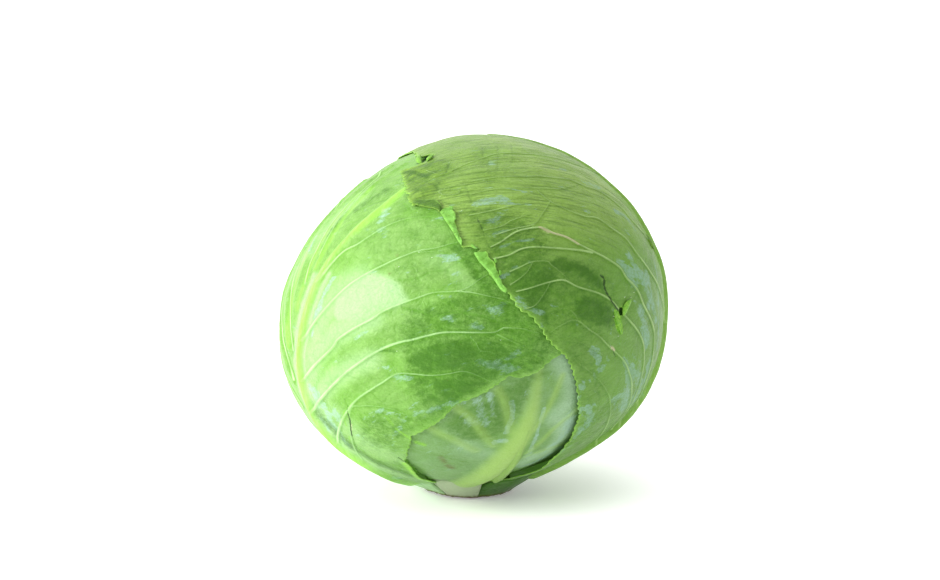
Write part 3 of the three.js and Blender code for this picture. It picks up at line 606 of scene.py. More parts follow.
leaf_right = Leaf(
    "leaf_right_blade", (85, 15), LAYER, ragged=0.6, feet=[(9, 150, "dark", 12, 25)],
    drop=0.35, drops=(-56,1, -52,-0.5, -64,-6, -62,-16.5, -49,1, -66,-20.5, -95,84, -90,101),
    outline=[
    ("stump", 150, 12), ("open", -44,-131, -43,-124, -46,-117, -50,-110, -53,-99, -59,-85, -66,-71, -74,-55, -80,-42,
     -86,-28, -89,-21, -92,-16, -96,-9, -99,-2, -101,4, -102,8, -105,13, -107,18, -108,24, -109,29), ("cut", -110,33,
     -110,41, -110,49, -109,56, -107,57, -107.5,61, -110,64, -109,68, -106,75, -103,82, -100,89, -98,95, -98,102,
     -98,109, -94,115, -90.5,117.5, -88,121, -86,124, -82.5,125, -80,128, -75,132, -69,136, -64,139, -59,141,
     -60,136.5, -57,134, -54.5,132.3, -51,131, -45,131.6, -39.5,132, -37.5,135.5, -38,139, -35,142, -28,145, -20,147,
     -9,149.5), ("open", 0,151, 19,156, 60,152, 105,123, 138,75, 150,20, 142,-28, 120,-68, 88,-103, 58,-126, 40,-137)],
    holes=[
    (-60.3,-2.6, -58.4,-3, -57,-4.2, -57.4,-6.6, -58.8,-7.4, -60,-5.5)],
    veins=[
    (6.5, 3.2, 1.6, 0.7, -15,-124, -21,-110, -24,-92, -17,-70, -10,-48, -4,-25, -1,0, 0,25, 4,50, 14,85, 22,115),
    (1.5, 0.5, 0.7, 0.3, 3,46, 8,57, -7,69, -20,80, -32,92, -40,102, -49,106), (1.6, 0.6, 0.7, 0.3, -3,13, -19,29,
     -22,39, -27,51, -35,59, -39,66, -45,71, -51,76, -57,81, -62,86, -67,91, -74,97), (1.7, 0.6, 0.8, 0.25, -3,-28,
     -12,-15, -24,0, -30,8, -36,17, -39,26, -44,33, -49,42, -55,46, -60,53, -63,62, -62,70), (0.9, 0.2, 0.9, 0.25,
     -39,62, -52,65, -61,72, -67,77, -74,84, -83,90), (0.8, 0.2, 1, 0.35, -71,66, -76,69, -83,72, -89,75, -95,79),
    (0.8, 0.2, 0.9, 0.25, -76,61, -81,62, -86,63, -91,63, -98,66), (1.4, 0.6, 1, 0.4, -17,-68, -23,-54, -27,-38,
     -30,-24, -35,-16, -42,-7, -46,2, -51,9, -53,15, -57,20, -63,27, -69,35, -72,41, -76,46, -78,51, -85,55, -90,56,
     -97,55, -102,55), (1.2, 0.5, 1, 0.4, -65,28, -69,31, -75,35, -81,39, -88,44, -93,46, -99,46, -105,48), (0.7,
     0.15, 0.9, 0.35, -82,20, -84,26, -86,31, -87,34, -93,37, -98,37, -103,37), (1.3, 0.45, 0.9, 0.35, -21,-80,
     -28,-64, -34,-46, -39,-31, -43,-23, -49,-16, -54,-11, -60,-4, -64,2, -70,8, -79,15, -84,21, -90,23, -99,24,
     -105,25), (1.4, 0.5, 0.7, 0.2, -25,-80, -33,-61, -40,-51, -47,-42, -54,-33, -62,-25, -67,-20, -73,-13, -78,-8,
     -84,-1, -91,-1, -96,-3), (1.4, 0.4, 0.6, 0.12, -24,-92, -43,-70, -55,-55, -58,-51, -68,-40, -75,-33, -81,-26),
    (0.7, 0.2, 0.6, 0.15, -43,-56, -49,-55, -55,-55), (0.7, 0.2, 0.6, 0.12, -70,-24, -76,-19, -83,-13, -90,-10), (0.6,
     0.12, 0.7, 0.2, -92,-12, -87,-18, -83,-25, -75,-33), (0.6, 0.12, 0.7, 0.2, -64,-67, -60,-64, -57,-60, -55,-55),
    (0.7, 0.2, 0.6, 0.12, -83,-2, -84,2, -88,7, -95,8), (0.7, 0.15, 0.5, 0.1, -44,33, -49,34, -54,39, -60,41), (0.7,
     0.15, 0.5, 0.1, -27,51, -33,50, -40,55, -46,56), (0.9, 0.3, 0.6, 0.1, 0,20, -10,40, -20,58, -32,76, -43,90,
     -55,102), (1.8, 0.6, 0.8, 0.2, -24,-99, -12,-92, 12,-84, 44,-66, 79,-43, 107,-14, 125,16, 134,40), (1.8, 0.6,
     0.8, 0.2, -14,-64, 12,-51, 42,-30, 71,-3, 92,28, 104,60, 106,84), (1.8, 0.6, 0.8, 0.2, -6,-34, 15,-19, 40,4,
     61,32, 77,64, 84,94), (1.7, 0.6, 0.8, 0.2, -2,-4, 16,13, 34,38, 49,68, 59,99, 62,128), (1.5, 0.5, 0.8, 0.2, 1,28,
     16,49, 28,74, 35,103, 40,134), (1.2, 0.4, 0.7, 0.2, 6,60, 14,83, 18,108, 21,138), (1, 0.35, 0.7, 0.2, 44,-66,
     71,-67, 98,-54, 121,-31, 134,-8), (1, 0.35, 0.7, 0.2, 42,-30, 67,-27, 92,-12, 113,9, 123,34), (0.9, 0.3, 0.7,
     0.2, 40,4, 59,11, 80,30, 93,52, 96,78), (0.9, 0.3, 0.7, 0.2, 34,38, 50,47, 65,66, 73,90), (1, 0.35, 0.7, 0.2,
     10,-85, 36,-90, 64,-86, 90,-72), (0.8, 0.2, 0.9, 0.3, -62,62, -72,58, -80,55, -88,58, -96,60), (0.7, 0.2, 0.8,
     0.3, -92,37, -97,33, -102,31, -106,30), (0.7, 0.2, 0.8, 0.3, -90,23, -95,18, -100,14, -104,14), (0.8, 0.3, 0.6,
     0.2, -49,106, -60,110, -68,112, -73,116, -78,117, -82,121, -83,125), (0.8, 0.35, 0.6, 0.2, -66,125, -70,118,
     -69,113), (0.8, 0.4, 0.6, 0.3, -77,97, -81,102, -85,105, -88,103), (0.6, 0.4, 0.6, 0.4, -87,104, -85,104,
     -83,100, -83,96, -86,96, -88,100, -87,104)],
    rises=[
    (-60, 140, 1.2, 14), (-88, 117, 1, 9), (-52, -110, 2, 12), (0, -138, 2.6, 26)],
    # the first lip is tinted dark: painted shade on its face turned away from the light
    lips=[
    ("dark", -97,110, -95,110, -98,105, -94,105, -98,100, -94,100, -98,95, -95,96, -99,92, -98,92), ("lip",
     -99.2,91.6, -97,91.7, -101,88, -95,89, -103,84, -97.5,85.5, -106,77, -102.5,79, -109,69, -107,71, -110,65,
     -109,66), ("lip", -109,56, -105.5,53.5, -110,50, -106,48.5, -110,43, -106.8,44, -110,36, -107.6,38, -110,30,
     -108.8,32, -109,27, -108.4,28)],
    lobes=[
    ("fresh", 1.3, 0.8, -1.4, 1, -51,135, -47,137.5, -42,139.5, -37,140.5), ("fresh", 1.3, 0.9, 0.5, 0.8, -53,130.5,
     -49,131.3, -44.5,131.6), ("fresh", 1.7, 0.9, 0.1, 0.9, -57.5,-7.6, -56,-4, -53,-1.2), ("fresh", 0.8, 0.6, 0.1,
     0.3, -63,-3, -62,-8, -60,-16), ("lip", 0.6, 0.5, 0.5, 0.9, -107.2,62, -107.6,59.5, -107.4,57.5), ("lip", 0.55,
     0.45, 1.3, 1.1, -105,47.6, -105.3,46, -106,44.8), ("lip", 0.55, 0.45, 1.3, 1.1, -106.6,40, -106.9,38.6,
     -107.6,37), ("lip", 0.5, 0.4, 1.4, 1.2, -95.6,90.5, -95.4,89, -96.2,87.6), ("lip", 0.5, 0.4, 1.2, 1.1, -99.6,84,
     -100.4,82, -101,80.6), ("olive", 1.6, 1, 0, 0.6, -10,22, -9,18, -9,13)],
    brushes=dict(
    crack=[(0.35, 0.45, -88,85, -95,74), (0.4, 0.8, -95,74, -99,65), (0.35, 0.5, -99,65, -102,58, -104,53), (0.6, 1,
     -66,16, -65,13, -66,10, -65,5, -63,0, -60.5,-4), (0.35, 0.6, -59,-8, -59,-14), (0.45, 0.7, -64.5,-22.5, -63,-25,
     -61,-28), (0.6, 0.9, -63.5,-6.6, -63.3,-6.9), (0.6, 0.8, -50,132, -48,132.4)],
    line=[(0.6, 0.6, -79,96, -83,91, -88,85), (0.5, 0.8, -74,129, -79,121, -78,116), (0.5, 0.8, -79,117, -82,110,
     -85,106), (0.6, 0.8, -59,117, -64,115, -69,113), (0.5, 0.7, -86,118, -88,112, -92,108), (0.5, 0.6, -70,127,
     -74,120, -74,114), (0.7, 0.5, -27,108, -36,104, -46,100, -64,91), (0.6, 0.5, -34,112, -44,108, -54,103), (0.6,
     0.45, -22,102, -34,98, -48,92), (0.5, 0.7, -92,100, -93,92, -91,86), (0.5, 0.6, -98,84, -93,80)],
    olive=[(9, 0.35, -40,110, -54,102, -68,92)],
    # painted shade: the band across the fold at the top of the flap; a darker band runs along the left margin
    dark=[(3.5, 0.9, -63,138, -66,132, -70,126, -74,120), (2.5, 0.6, -72,131, -76,128), (3, 0.45, -106,45, -107,33,
     -103,15, -97,-3, -90,-22)],
    wax=[(1.6, 0.9, -18,9, -21,-1, -24,-11, -24,-24, -22,-35), (5, 1, -44,17, -41,9, -37,-1, -36,-9), (5, 0.9, -48,-4,
     -43,-15, -37,-28), (5, 0.9, -54,-32, -48,-43, -45,-52, -52,-53), (5, 1, -18,-61, -27,-48, -30,-39), (4, 0.9,
     -34,6, -34,-7, -29,-18), (3, 1, -32,40, -27,35, -26,27), (1.1, 0.9, -78,91, -72,83, -67,73), (1.1, 0.9, -88,83,
     -80,73, -72,65), (2, 0.9, -99,52, -92,51, -86,48), (3, 1, -108,36, -100,38), (2, 1, -96,61, -91,59), (4, 0.9,
     -107,20, -102,13, -99,9), (4, 1, -77,-19, -72,-26), (3, 0.9, -60,-79, -62,-72), (3, 0.9, -59,-90, -55,-86), (4,
     0.8, -78,-48, -78,-37), (6, 0.8, -75,-57, -68,-56, -60,-70), (6, 0.6, -96,-40, -88,-52), (4, 0.6, -74,-37,
     -68,-30), (5, 0.7, -86,83, -78,76, -90,68), (4, 0.5, -30,78, -34,66, -24,52), (3, 0.4, -42,105, -54,99), (3, 0.7,
     -84,100, -80,96)],
    scar=[(0.75, 0.9, -79,52, -76,46, -72,41, -69,35), (0.9, 0.9, -65,-21.5, -63,-23.5)],
    pale=[(16, 0.45, -30,62, -40,80, -30,96), (16, 0.5, -14,56, -18,84, -10,110)],
    yellow=[(8, 0.9, -3,60, -5,40, -6,16, -8,-4, -9,-23, -10,-43, -13,-62, -17,-80), (12, 0.25, -40,108, -30,92,
     -14,74)]),
    areas=dict(
    olive=[(4, 0.8, -59,140, -69,135, -80,127, -88,120, -97,110, -94,104, -84,106, -72,110, -60,116, -52,124,
     -56,132)],
    # darker patches on the right leaf: partly its own tone, partly painted shade where the light falls off
    dark=[(3, 0.95, -87,33, -81,33, -75,28, -70,22, -66,13, -66,8, -71,11, -75,17, -80,23, -86,27), (2.5, 0.9, -84,9,
     -77,10, -70,5, -64,-1, -65,-9, -72,-9, -78,-5, -84,1), (2, 0.8, -99,15, -95,14, -96,1, -99,5), (5, 0.5, -104,30,
     -96,31, -87,34, -74,31, -64,20, -60,5, -62,-13, -78,-11, -92,-4, -98,2, -102,17), (7, 0.68, -108,44, -106,60,
     -102,72, -96,84, -86,78, -80,66, -78,52, -80,40, -88,30, -106,26), (4, 0.8, -106,34, -98,38, -88,36, -84,26,
     -90,18, -98,8, -104,14), (8, 0.4, -72,-58, -50,-52, -30,-66, -14,-68, -18,-88, -24,-102, -56,-98), (9, 0.35,
     -44,128, -26,142, -10,140, -14,108, -30,108), (5, 0.4, -64,122, -58,126, -60,112, -70,104, -76,112), (6, 0.4,
     -98,8, -94,-12, -86,-28, -72,-54, -60,-52, -70,-25, -80,-5, -88,12)],
    fresh=[(0.5, 0.9, -63,-3, -61,-4, -59,-8, -59,-16, -62,-14, -63,-10)],
    wax=[(3, 0.85, -54,19, -47,17, -43,10, -42,3, -48,2, -52,12), (5, 0.8, -50,-30, -37,-40, -20,-53, -24,-62,
     -32,-69, -42,-64, -49,-52)]))

leaf_left = Leaf(
    "leaf_left_blade", (-58, 10), 0, over=(leaf_right,), feet=[(-139, -30, "pale", 25, 0)],
    drop=0.4, drops=(47,25, 59,33, 101,-1, 52,34, 58,-13.5),
    outline=[
    ("stump", -42, -140), ("open", -45,-142, -74,-124, -110,-104, -146,-60, -160,-6), ("hidden", -160,-6, -147,46,
     -114,79, -75,94, -38,101, -6,99, 31,85, 66,75, 99,58, 123,31, 131,6, 130,-7), ("open", 130,-7, 126,-11, 122,-18,
     117,-22, 112,-24, 108,-23, 103,-29, 97,-35, 90,-39, 85,-42, 82,-46.4, 76,-53.8, 67,-61, 61,-65.4, 58.4,-70,
     51,-83, 47,-89, 45,-100, 40,-113, 36,-119, 34,-126)],
    veins=[
    (7, 3, 2.4, 0.6, 11,-127, 16,-114, 14,-97, 5,-77, 1,-50, 0,-30, 3,-5, 5,15, 11,34, 17,52, 22,72), (1.4, 0.5, 1,
     0.3, -7,8, -11,18, -12,25, -15,36, -16,49, -16,59, -18,69, -28,78, -36,90), (1.2, 0.4, 1, 0.2, -4,22, -6,34,
     -10,45, -14,54), (1.6, 0.55, 0.9, 0.25, -9,-42, -14,-31, -25,-18, -36,-6, -41,8, -46,24, -52,40, -60,60, -66,80),
    (1.5, 0.5, 0.9, 0.25, -7,-25, -11,-14, -18,-2, -27,10, -32,26, -36,44, -44,60, -50,78, -54,90), (1.5, 0.45, 0.7,
     0.12, 5,10, 12,25, 19,31, 24,37, 29,43, 35,48, 41,51, 49,54), (1.6, 0.55, 0.8, 0.2, 3,-18, 17,0, 25,11, 32,18,
     40,25, 47,31, 52,35, 58,38, 63,42, 67,45), (0.8, 0.2, 0.5, 0.1, 52,34, 58,36, 68,38), (1.7, 0.6, 0.8, 0.2, 2,-40,
     23,-20, 28,-13, 35,-7, 43,-1, 48,4, 55,9, 61,13, 67,17, 76,20, 80,23, 83,28, 86,33), (0.9, 0.3, 0.6, 0.12, 76,20,
     83,21, 91,21, 96,21, 102,20), (0.9, 0.3, 0.6, 0.12, 101,6, 109,7, 115,6, 118,6), (1.7, 0.65, 0.9, 0.3, 1,-60,
     18,-45, 29,-34, 36,-27, 46,-18, 52,-13, 59,-9, 64,-7, 70,-4, 77,-1, 88,1, 94,2, 98,3, 101,6), (0.8, 0.25, 0.5,
     0.1, 99,2, 104,0, 111,-3, 117,-7, 121,-10), (0.7, 0.2, 0.5, 0.1, 88,-1, 91,-4, 94,-8, 98,-8, 103,-11, 109,-15,
     114,-20), (0.6, 0.15, 0.5, 0.1, 94,-8, 92,-14, 88,-21), (0.6, 0.15, 0.5, 0.1, 109,-15, 112,-10, 114,-6), (1.6,
     0.6, 0.8, 0.15, 7,-82, 20,-66, 32,-51, 39,-43, 46,-37, 52,-32, 59,-26, 66,-25, 74,-25, 82,-23, 88,-21, 94,-23,
     100,-27), (0.7, 0.2, 0.5, 0.1, 59,-25, 56,-21, 53,-20, 47,-20), (1.4, 0.4, 0.7, 0.1, 14,-98, 26,-70, 34,-50,
     40,-47, 48,-46, 56,-47, 63,-50, 72,-47, 78,-45), (1.7, 0.55, 0.8, 0.2, -12,-60, -30,-40, -48,-22, -65,4, -81,30,
     -91,54, -96,74), (1.7, 0.55, 0.8, 0.2, -10,-78, -34,-62, -60,-44, -86,-18, -106,8, -119,34, -126,56), (1.7, 0.55,
     0.8, 0.2, -6,-96, -36,-86, -70,-70, -103,-44, -127,-15, -143,12, -150,32), (1.5, 0.5, 0.8, 0.2, -4,-112,
     -32,-109, -66,-98, -95,-80, -121,-57), (1, 0.35, 0.7, 0.2, -48,-22, -61,-13, -74,-8, -87,5, -99,22, -108,44), (1,
     0.35, 0.7, 0.2, -60,-44, -77,-41, -93,-31, -112,-15, -125,1, -136,24), (1, 0.35, 0.7, 0.2, -70,-70, -89,-67,
     -107,-55, -128,-35, -143,-12), (0.8, 0.25, 0.6, 0.15, -65,4, -67,22, -73,40, -78,58), (0.7, 0.25, 0.6, 0.15,
     -86,-18, -88,-2, -95,13, -98,22), (0.8, 0.25, 0.6, 0.15, -36,-86, -52,-90, -70,-86, -90,-76, -112,-58)],
    folds=[
    (2.6, 0.8, 2.6, 0.9, -1,12, -5,30, -8,45, -8,60, -6,80), (3, 0.9, 3, 0.9, -6,-15, -12,5, -20,25, -24,44, -22,60,
     -20,78), (3.4, 1, 3.2, 1, -12,-24, -24,0, -36,22, -40,44, -38,66), (3.4, 1, 3.2, 1, -10,-44, -24,-24, -44,0,
     -56,25, -58,52), (5, 0.5, 4, 0.2, 8,-60, 20,-40, 30,-20)],
    rises=[
    (43, -107, 1.2, 9), (-4, -142, 1.5, 26)],
    brushes=dict(
    # the wide last crack stroke is painted shade in the slot under the right leaf's notch
    crack=[(0.5, 0.7, 32.5,-48, 31.5,-53), (0.6, 1, 31.5,-53, 31,-58, 27,-69), (0.45, 0.6, 27,-69, 24,-79), (0.6, 1,
     46,-84, 47,-89), (3, 1, 5,83, 4,86, 2,90)],
    fresh=[(1.2, 0.55, 29.5,-52, 28,-57, 27,-62), (2.4, 0.4, 52,-52, 54,-57), (1.5, 0.55, 55,-60, 58,-65, 60,-69), (1,
     0.5, 25,-70, 23,-73)],
    line=[(0.5, 1, 56,7, 63,7, 69,6, 75,8, 82,10, 90,10, 97,9), (0.45, 0.9, 48,19, 53,20, 58,22, 62,26, 69,29), (0.4,
     0.7, 74,8, 72,5), (0.5, 0.4, 29,28, 29,34, 30,40, 32,47), (0.5, 0.5, 28,-17, 31,-21, 33,-23, 36,-20), (0.4, 0.5,
     29,-20, 33,-18), (0.6, 0.6, 2,55, -1,61, 1,64), (0.6, 0.6, -10,55, -5,58, -8,64), (0.6, 0.4, 6,48, 5,55, 8,62),
    (0.4, 0.8, 32,-44, 33,-48)],
    # painted shade: the strip beside the right leaf's lips and the lower midrib facing down; the other strokes are
    # darker patches
    dark=[(9, 0.8, 8,-58, 14,-66, 19,-76, 25,-86, 32,-95, 40,-104), (7, 0.6, -8,34, -5,42, 2,50, 8,60), (6, 0.3,
     -20,26, -14,36), (5, 0.75, 66,41, 72,38, 78,33, 90,23, 99,17, 108,12), (4, 0.3, 15,62, 16,52, 15,46), (4, 0.4,
     31,48, 37,46, 44,40), (5, 0.3, 28,42, 36,34, 30,30), (3, 0.3, 8,33, 9,38), (3, 0.4, 42,52, 50,47, 58,42, 66,41),
    (3, 0.4, 45,45, 49,35), (3, 0.3, 38,38, 43,40), (2.4, 1, 120,-13, 120.2,-13.2), (3, 0.8, 118,4, 117,-3, 117,-7),
    (1.5, 0.9, 50,-15, 53,-14, 57,-14)],
    wax=[(5, 1, 12,-44, 14,-49, 17,-56, 17,-64, 19,-71, 19,-79), (4, 0.9, 24,-53, 23,-59), (3, 0.9, 35,-108, 30,-117),
    (3, 0.7, 10,-96, 16,-106, 22,-114), (3, 0.9, -20,23, -22,29, -26,35, -27,40), (2.4, 1, 10,-14, 11,-4, 13,5,
     15,13), (4, 0.8, 7,-41, 11,-50, 10,-62, 10,-71), (5, 0.5, 91,-40, 78,-44, 70,-51), (5, 0.6, 104,-13, 98,-17,
     110,-8), (5, 0.4, 60,36, 70,34, 74,30), (4, 0.5, 90,15, 100,14), (4, 0.7, 66,-50, 72,-47, 79,-45), (5, 0.5,
     56,-24, 64,-27), (7, 0.55, 42,-54, 50,-51, 60,-52), (6, 0.5, 48,-66, 58,-62), (4, 0.6, 70,8, 80,6, 92,4), (5,
     0.8, 98,-16, 110,-17), (5, 0.5, 20,50, 24,44, 30,38), (3, 0.4, 84,13, 70,16), (8, 0.6, 0,92, -6,98)],
    scar=[(0.35, 0.8, 31,-60, 29,-65)],
    brown=[(0.5, 0.9, 62,35, 62.2,35.2), (0.5, 0.7, 44,21, 44.2,21), (0.7, 0.6, 43,30, 43.3,30)],
    # pale brushes: waxy bands beside the midrib, and painted light on the lit left flank and round the window's
    # reflection
    pale=[(12, 0.5, 10,-34, 15,-12, 21,6, 30,14), (10, 0.6, 12,-26, 26,-10, 42,0), (12, 0.55, 6,-44, 10,-62, 16,-84,
     26,-104), (10, 0.25, -8,-70, 2,-90), (12, 0.3, 24,-56, 34,-74, 44,-84), (14, 0.35, -30,10, -20,30, -10,50), (3,
     0.7, 11,-70, 6,-46, 5,-28, 8,-6, 11,14), (3, 0.7, -1,-72, -5,-50, -5,-28, -2,-6, 0,12), (9, 0.5, 18,-42, 32,-29,
     46,-20), (6, 0.2, 80,24, 70,30, 60,32)],
    yellow=[(2.2, 1, 45,-91, 44,-99, 40,-110, 36,-119, 34,-124), (4, 0.9, 20,62, 18,50, 13,38), (3, 0.6, -6,60, -5,44,
     -3,30, -2,16), (3, 0.5, -16,56, -13,36, -9,16, -6,-4), (4, 0.5, -28,50, -24,24, -17,0, -12,-24)]),
    areas=dict(
    # darker patches: partly rubbed-off wax, partly painted shade where the light falls off to the right and on the
    # underside near the stump
    dark=[(2.6, 0.92, 62,-18, 66,-12, 70,-9, 79,-4, 88,-3, 94,-8, 92,-16, 87,-21, 80,-22, 72,-24, 67,-22), (4, 0.6,
     86,-5, 97,-1, 110,-6, 118,-11, 112,-17, 104,-14, 96,-13, 88,-18), (5, 0.84, 88,-4, 96,0, 106,-3, 112,-10,
     110,-18, 103,-25, 96,-33, 88,-38, 84,-28, 84,-16), (2.6, 0.92, 72,-27, 79,-25, 87,-24, 92,-27, 93,-32, 88,-38,
     84,-42, 79,-37), (1, 0.6, 69,41, 74,44, 81,38, 90,33, 99,27, 101,20, 93,21, 84,26, 77,33, 71,36), (5, 0.7, 66,-8,
     80,-4, 96,0, 112,-4, 122,-12, 112,-22, 100,-28, 88,-40, 78,-50, 68,-40, 62,-22), (6, 0.33, 40,30, 54,32, 70,36,
     68,22, 58,12, 44,20), (5, 0.62, 58,8, 66,12, 76,20, 88,26, 104,22, 124,8, 127,-9, 120,-20, 104,-25, 91,-37,
     82,-50, 72,-54, 69,-41, 65,-24, 58,-12), (8, 0.5, 30,-76, 44,-78, 62,-66, 76,-50, 56,-46, 36,-54), (8, 0.45,
     -10,-110, 10,-104, 30,-90, 44,-86, 44,-104, 36,-116, 20,-124)],
    # painted highlight: the crisp-edged reflection of the window on the left leaf
    pale=[(2, 0.75, 22,-2, 21,5, 24,11, 29,17, 34,20, 39,20, 46,19, 51,17, 54,14, 57,11, 53,7, 46,3, 39,-3, 31,-4,
     26,-5)]))

leaf_front = Leaf(
    "leaf_front_blade", (18, -15), -LAYER, over=(leaf_right, leaf_left), soft=1.1, feet=[(-29, 12, "stem")],
    outline=[
    ("stump", 70, -25), ("open", -19,-89, -27,-79, -35,-66, -43,-53), ("hidden", -43,-53, -66,-36, -96,-7, -89,51,
     -39,82, 0,88, 39,82, 89,51, 96,-7, 70,-56, 40,-85, 30,-94)],
    veins=[
    (15, 4.2, 2.8, 0.4, -2,-87, -1,-72, 0,-60, 1,-46, 4,-24, 4,-6, 4,14), (5, 4.2, 2, 1.2, 10,-84, 9.5,-74, 8.5,-60,
     8,-48, 6.5,-36, 6,-22), (1.6, 0.35, 1, 0.2, 9,-24, 12,-12, 14,-2, 16,8), (2.2, 0.45, 1.4, 0.3, 12,-44, 16,-34,
     20,-25, 28,-15), (1.6, 0.35, 1, 0.2, 13,-49, 21,-45, 30,-44), (2.2, 0.45, 1.4, 0.25, -7,-34, -13,-26, -21,-15,
     -28,-9, -34,-4), (2.2, 0.5, 1.4, 0.3, -2,-24, -5,-14, -9,-4, -13,3), (2, 0.35, 1.2, 0.15, -14,-38, -25,-30,
     -34,-25, -42,-20), (1.8, 0.25, 1.2, 0.1, -16,-50, -25,-46, -33,-43, -42,-41)],
    brushes=dict(
    dark=[(4, 0.5, -43,-37, -39,-26, -32,-15, -27,-8, -18,2)],
    wax=[(2.6, 1.4, -7,-31, -3,-30), (2.4, 1.3, -4,-24, -4,-12, -6,-4), (5, 0.9, 26,-17, 27,-28, 26,-39, 20,-46,
     14,-49), (4, 1.2, 17,-64, 24,-57, 30,-48), (5, 0.7, -24,-14, -16,-18, -20,-4), (1.6, 1.6, 10.5,-10, 11,-25,
     13,-45), (3, 0.8, -12,-12, -16,0), (3, 0.7, -34,-14, -26,-2)],
    brown=[(2, 0.6, -28,-45, -25,-50), (2.2, 0.7, -23,-53, -20,-56)],
    pale=[(9, 0.7, 15,16, 20,7, 24,-5, 18,-16), (8, 0.8, 14,-56, 22,-48), (8, 0.8, 22,-20, 27,-34, 25,-46), (6, 0.7,
     12,-58, 20,-62), (9, 0.35, -20,-34, -10,-40)],
    fresh=[(2.6, 0.6, -41,-35, -37.5,-36)],
    stem=[(5, 1, -20,-86, -8,-88, 4,-87)],
    yellow=[(3.4, 0.45, -7,-34, -13,-26, -21,-15, -28,-9, -34,-4), (3.4, 0.45, -2,-24, -5,-14, -9,-4, -13,3), (3.6,
     0.4, -14,-38, -25,-30, -34,-25, -42,-20), (3, 0.5, 12,-44, 16,-34, 20,-25, 28,-15), (2.6, 0.55, 9,-24, 12,-12,
     14,-2, 16,8), (3, 0.45, 13,-49, 21,-45, 30,-44)]),
    areas=dict(
    dark=[(5, 0.7, -34,-20, -26,-8, -16,0, -8,8, 12,12, 3,6, 2,-4, -3,-20, -8,-28, -22,-30)]))

leaf_back = Leaf(
    "leaf_back_blade", (170, 0), -LAYER, over=(leaf_right, leaf_left), feet=[(151, 220, "pale")],
    outline=[
    ("stump", 225, 130), ("hidden", -38,-113, -60,-94, -83,-70, -100,-20, -88,37, -39,61, 0,65, 39,61, 88,37, 98,-20,
     80,-74, 55,-100, 36,-118)],
    veins=[(6, 2, 1.4, 0.3, -4,-114, 0,-90, 3,-60, 2,-25, 0,10, 0,45)] + [
        (1.6, 0.5, 0.8, 0.15, 2,v, 2 + side * 28,v + 20, 2 + side * 52,v + 30)
        for side in (-1, 1) for v in (-70, -42, -14)])


# ---- heart and stump ----

def stump_solid():
    profile = np.array([(0.0, 0.0), (6, 0.15), (12, 0.1), (16.5, 0.0), (18.0, 0.1), (18.7, 0.6), (19.0, 1.6),
                        (18.9, 3.2), (19.0, 5.0), (18.6, 7.5), (18.4, 10.0), (14.0, 16.0), (12.0, 38.0), (6.0, 46.0),
                        (0.0, 46.0)])  # radius, height
    sides = 220
    angle = np.linspace(0, 2 * np.pi, sides, endpoint=False)
    round_xy = np.stack([np.cos(angle), np.sin(angle)], -1)
    swell = stump_radius(angle) / STUMP_RADIUS
    run = np.concatenate([[0], np.cumsum(np.hypot(*np.diff(profile, axis=0).T))])
    s = np.unique(np.concatenate([np.arange(0, run[-1], 0.6), run]))
    rows = []
    for r, z in np.stack([np.interp(s, run, profile[:, k]) for k in (0, 1)], -1)[1:-1]:
        bark = 0.35 * layered_noise(round_xy * 30 + (60, z * 0.5), 2.2, 41) * np.clip(z / 1.5, 0, 1)
        face = layered_noise(round_xy * r, 3.0, 43)
        reach = r * swell + bark
        rows.append(np.stack([reach * np.sin(angle), -reach * np.cos(angle),
                              z + np.maximum(0, 0.12 * face) * (z < 0.5)], -1))
    points = np.vstack(rows + [[(0, 0, 0), (0, 0, profile[-1, 1])]])
    return make_piece("stump_core", points, tube(len(rows), sides))


def heart_solid():
    """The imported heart: the envelope, hollowed below for the stump's core."""
    rings, sides = 150, 260
    angle = np.linspace(0, 2 * np.pi, sides, endpoint=False)
    points = []
    for t in np.linspace(0, np.pi, rings + 2)[1:-1]:
        n = np.stack([np.sin(t) * np.sin(angle), -np.sin(t) * np.cos(angle), np.full(sides, np.cos(t))], -1)
        points.append(envelope(n, 0.25 * along_noise(angle * 40, 12, 51, 3, t * 60) - HEART_DEPTH))
    points = np.vstack(points + [envelope(np.array([(0, 0, 1.0), (0, 0, -1.0)]), np.full(2, -HEART_DEPTH))])
    socket, hole, slope, height = 24, 14.5, 5.5, 48.0
    reach = np.hypot(points[:, 0], points[:, 1])
    low = (points[:, 2] < 60) & (reach < socket)
    points[low, 2] = np.where(reach[low] < hole, height,
                              np.maximum(points[low, 2], height - (reach[low] - hole) * slope))
    return make_piece("packed_heart", points, tube(rings, sides, True))


# ---- materials ----

def linear(hex_colour):
    rgb = [int(hex_colour[i:i + 2], 16) / 255 for i in (1, 3, 5)]
    return [c / 12.92 if c <= 0.04045 else ((c + 0.055) / 1.055) ** 2.4 for c in rgb] + [1.0]


class Value:
    """What comes out of a node, with arithmetic."""

    def __init__(self, nodes, socket):
        self.nodes, self.socket = nodes, socket

    def __mul__(self, other):
        return self.nodes.math("MULTIPLY", self, other)

    def __add__(self, other):
        return self.nodes.math("ADD", self, other)

    def __sub__(self, other):
        return self.nodes.math("SUBTRACT", self, other)

    def __rsub__(self, other):
        return self.nodes.math("SUBTRACT", other, self)

    def step(self, low, high, to_low=0.0, to_high=1.0, smooth="SMOOTHSTEP"):
        return self.nodes.add("MapRange", {0: self, 1: low, 2: high, 3: to_low, 4: to_high},
                              interpolation_type=smooth)


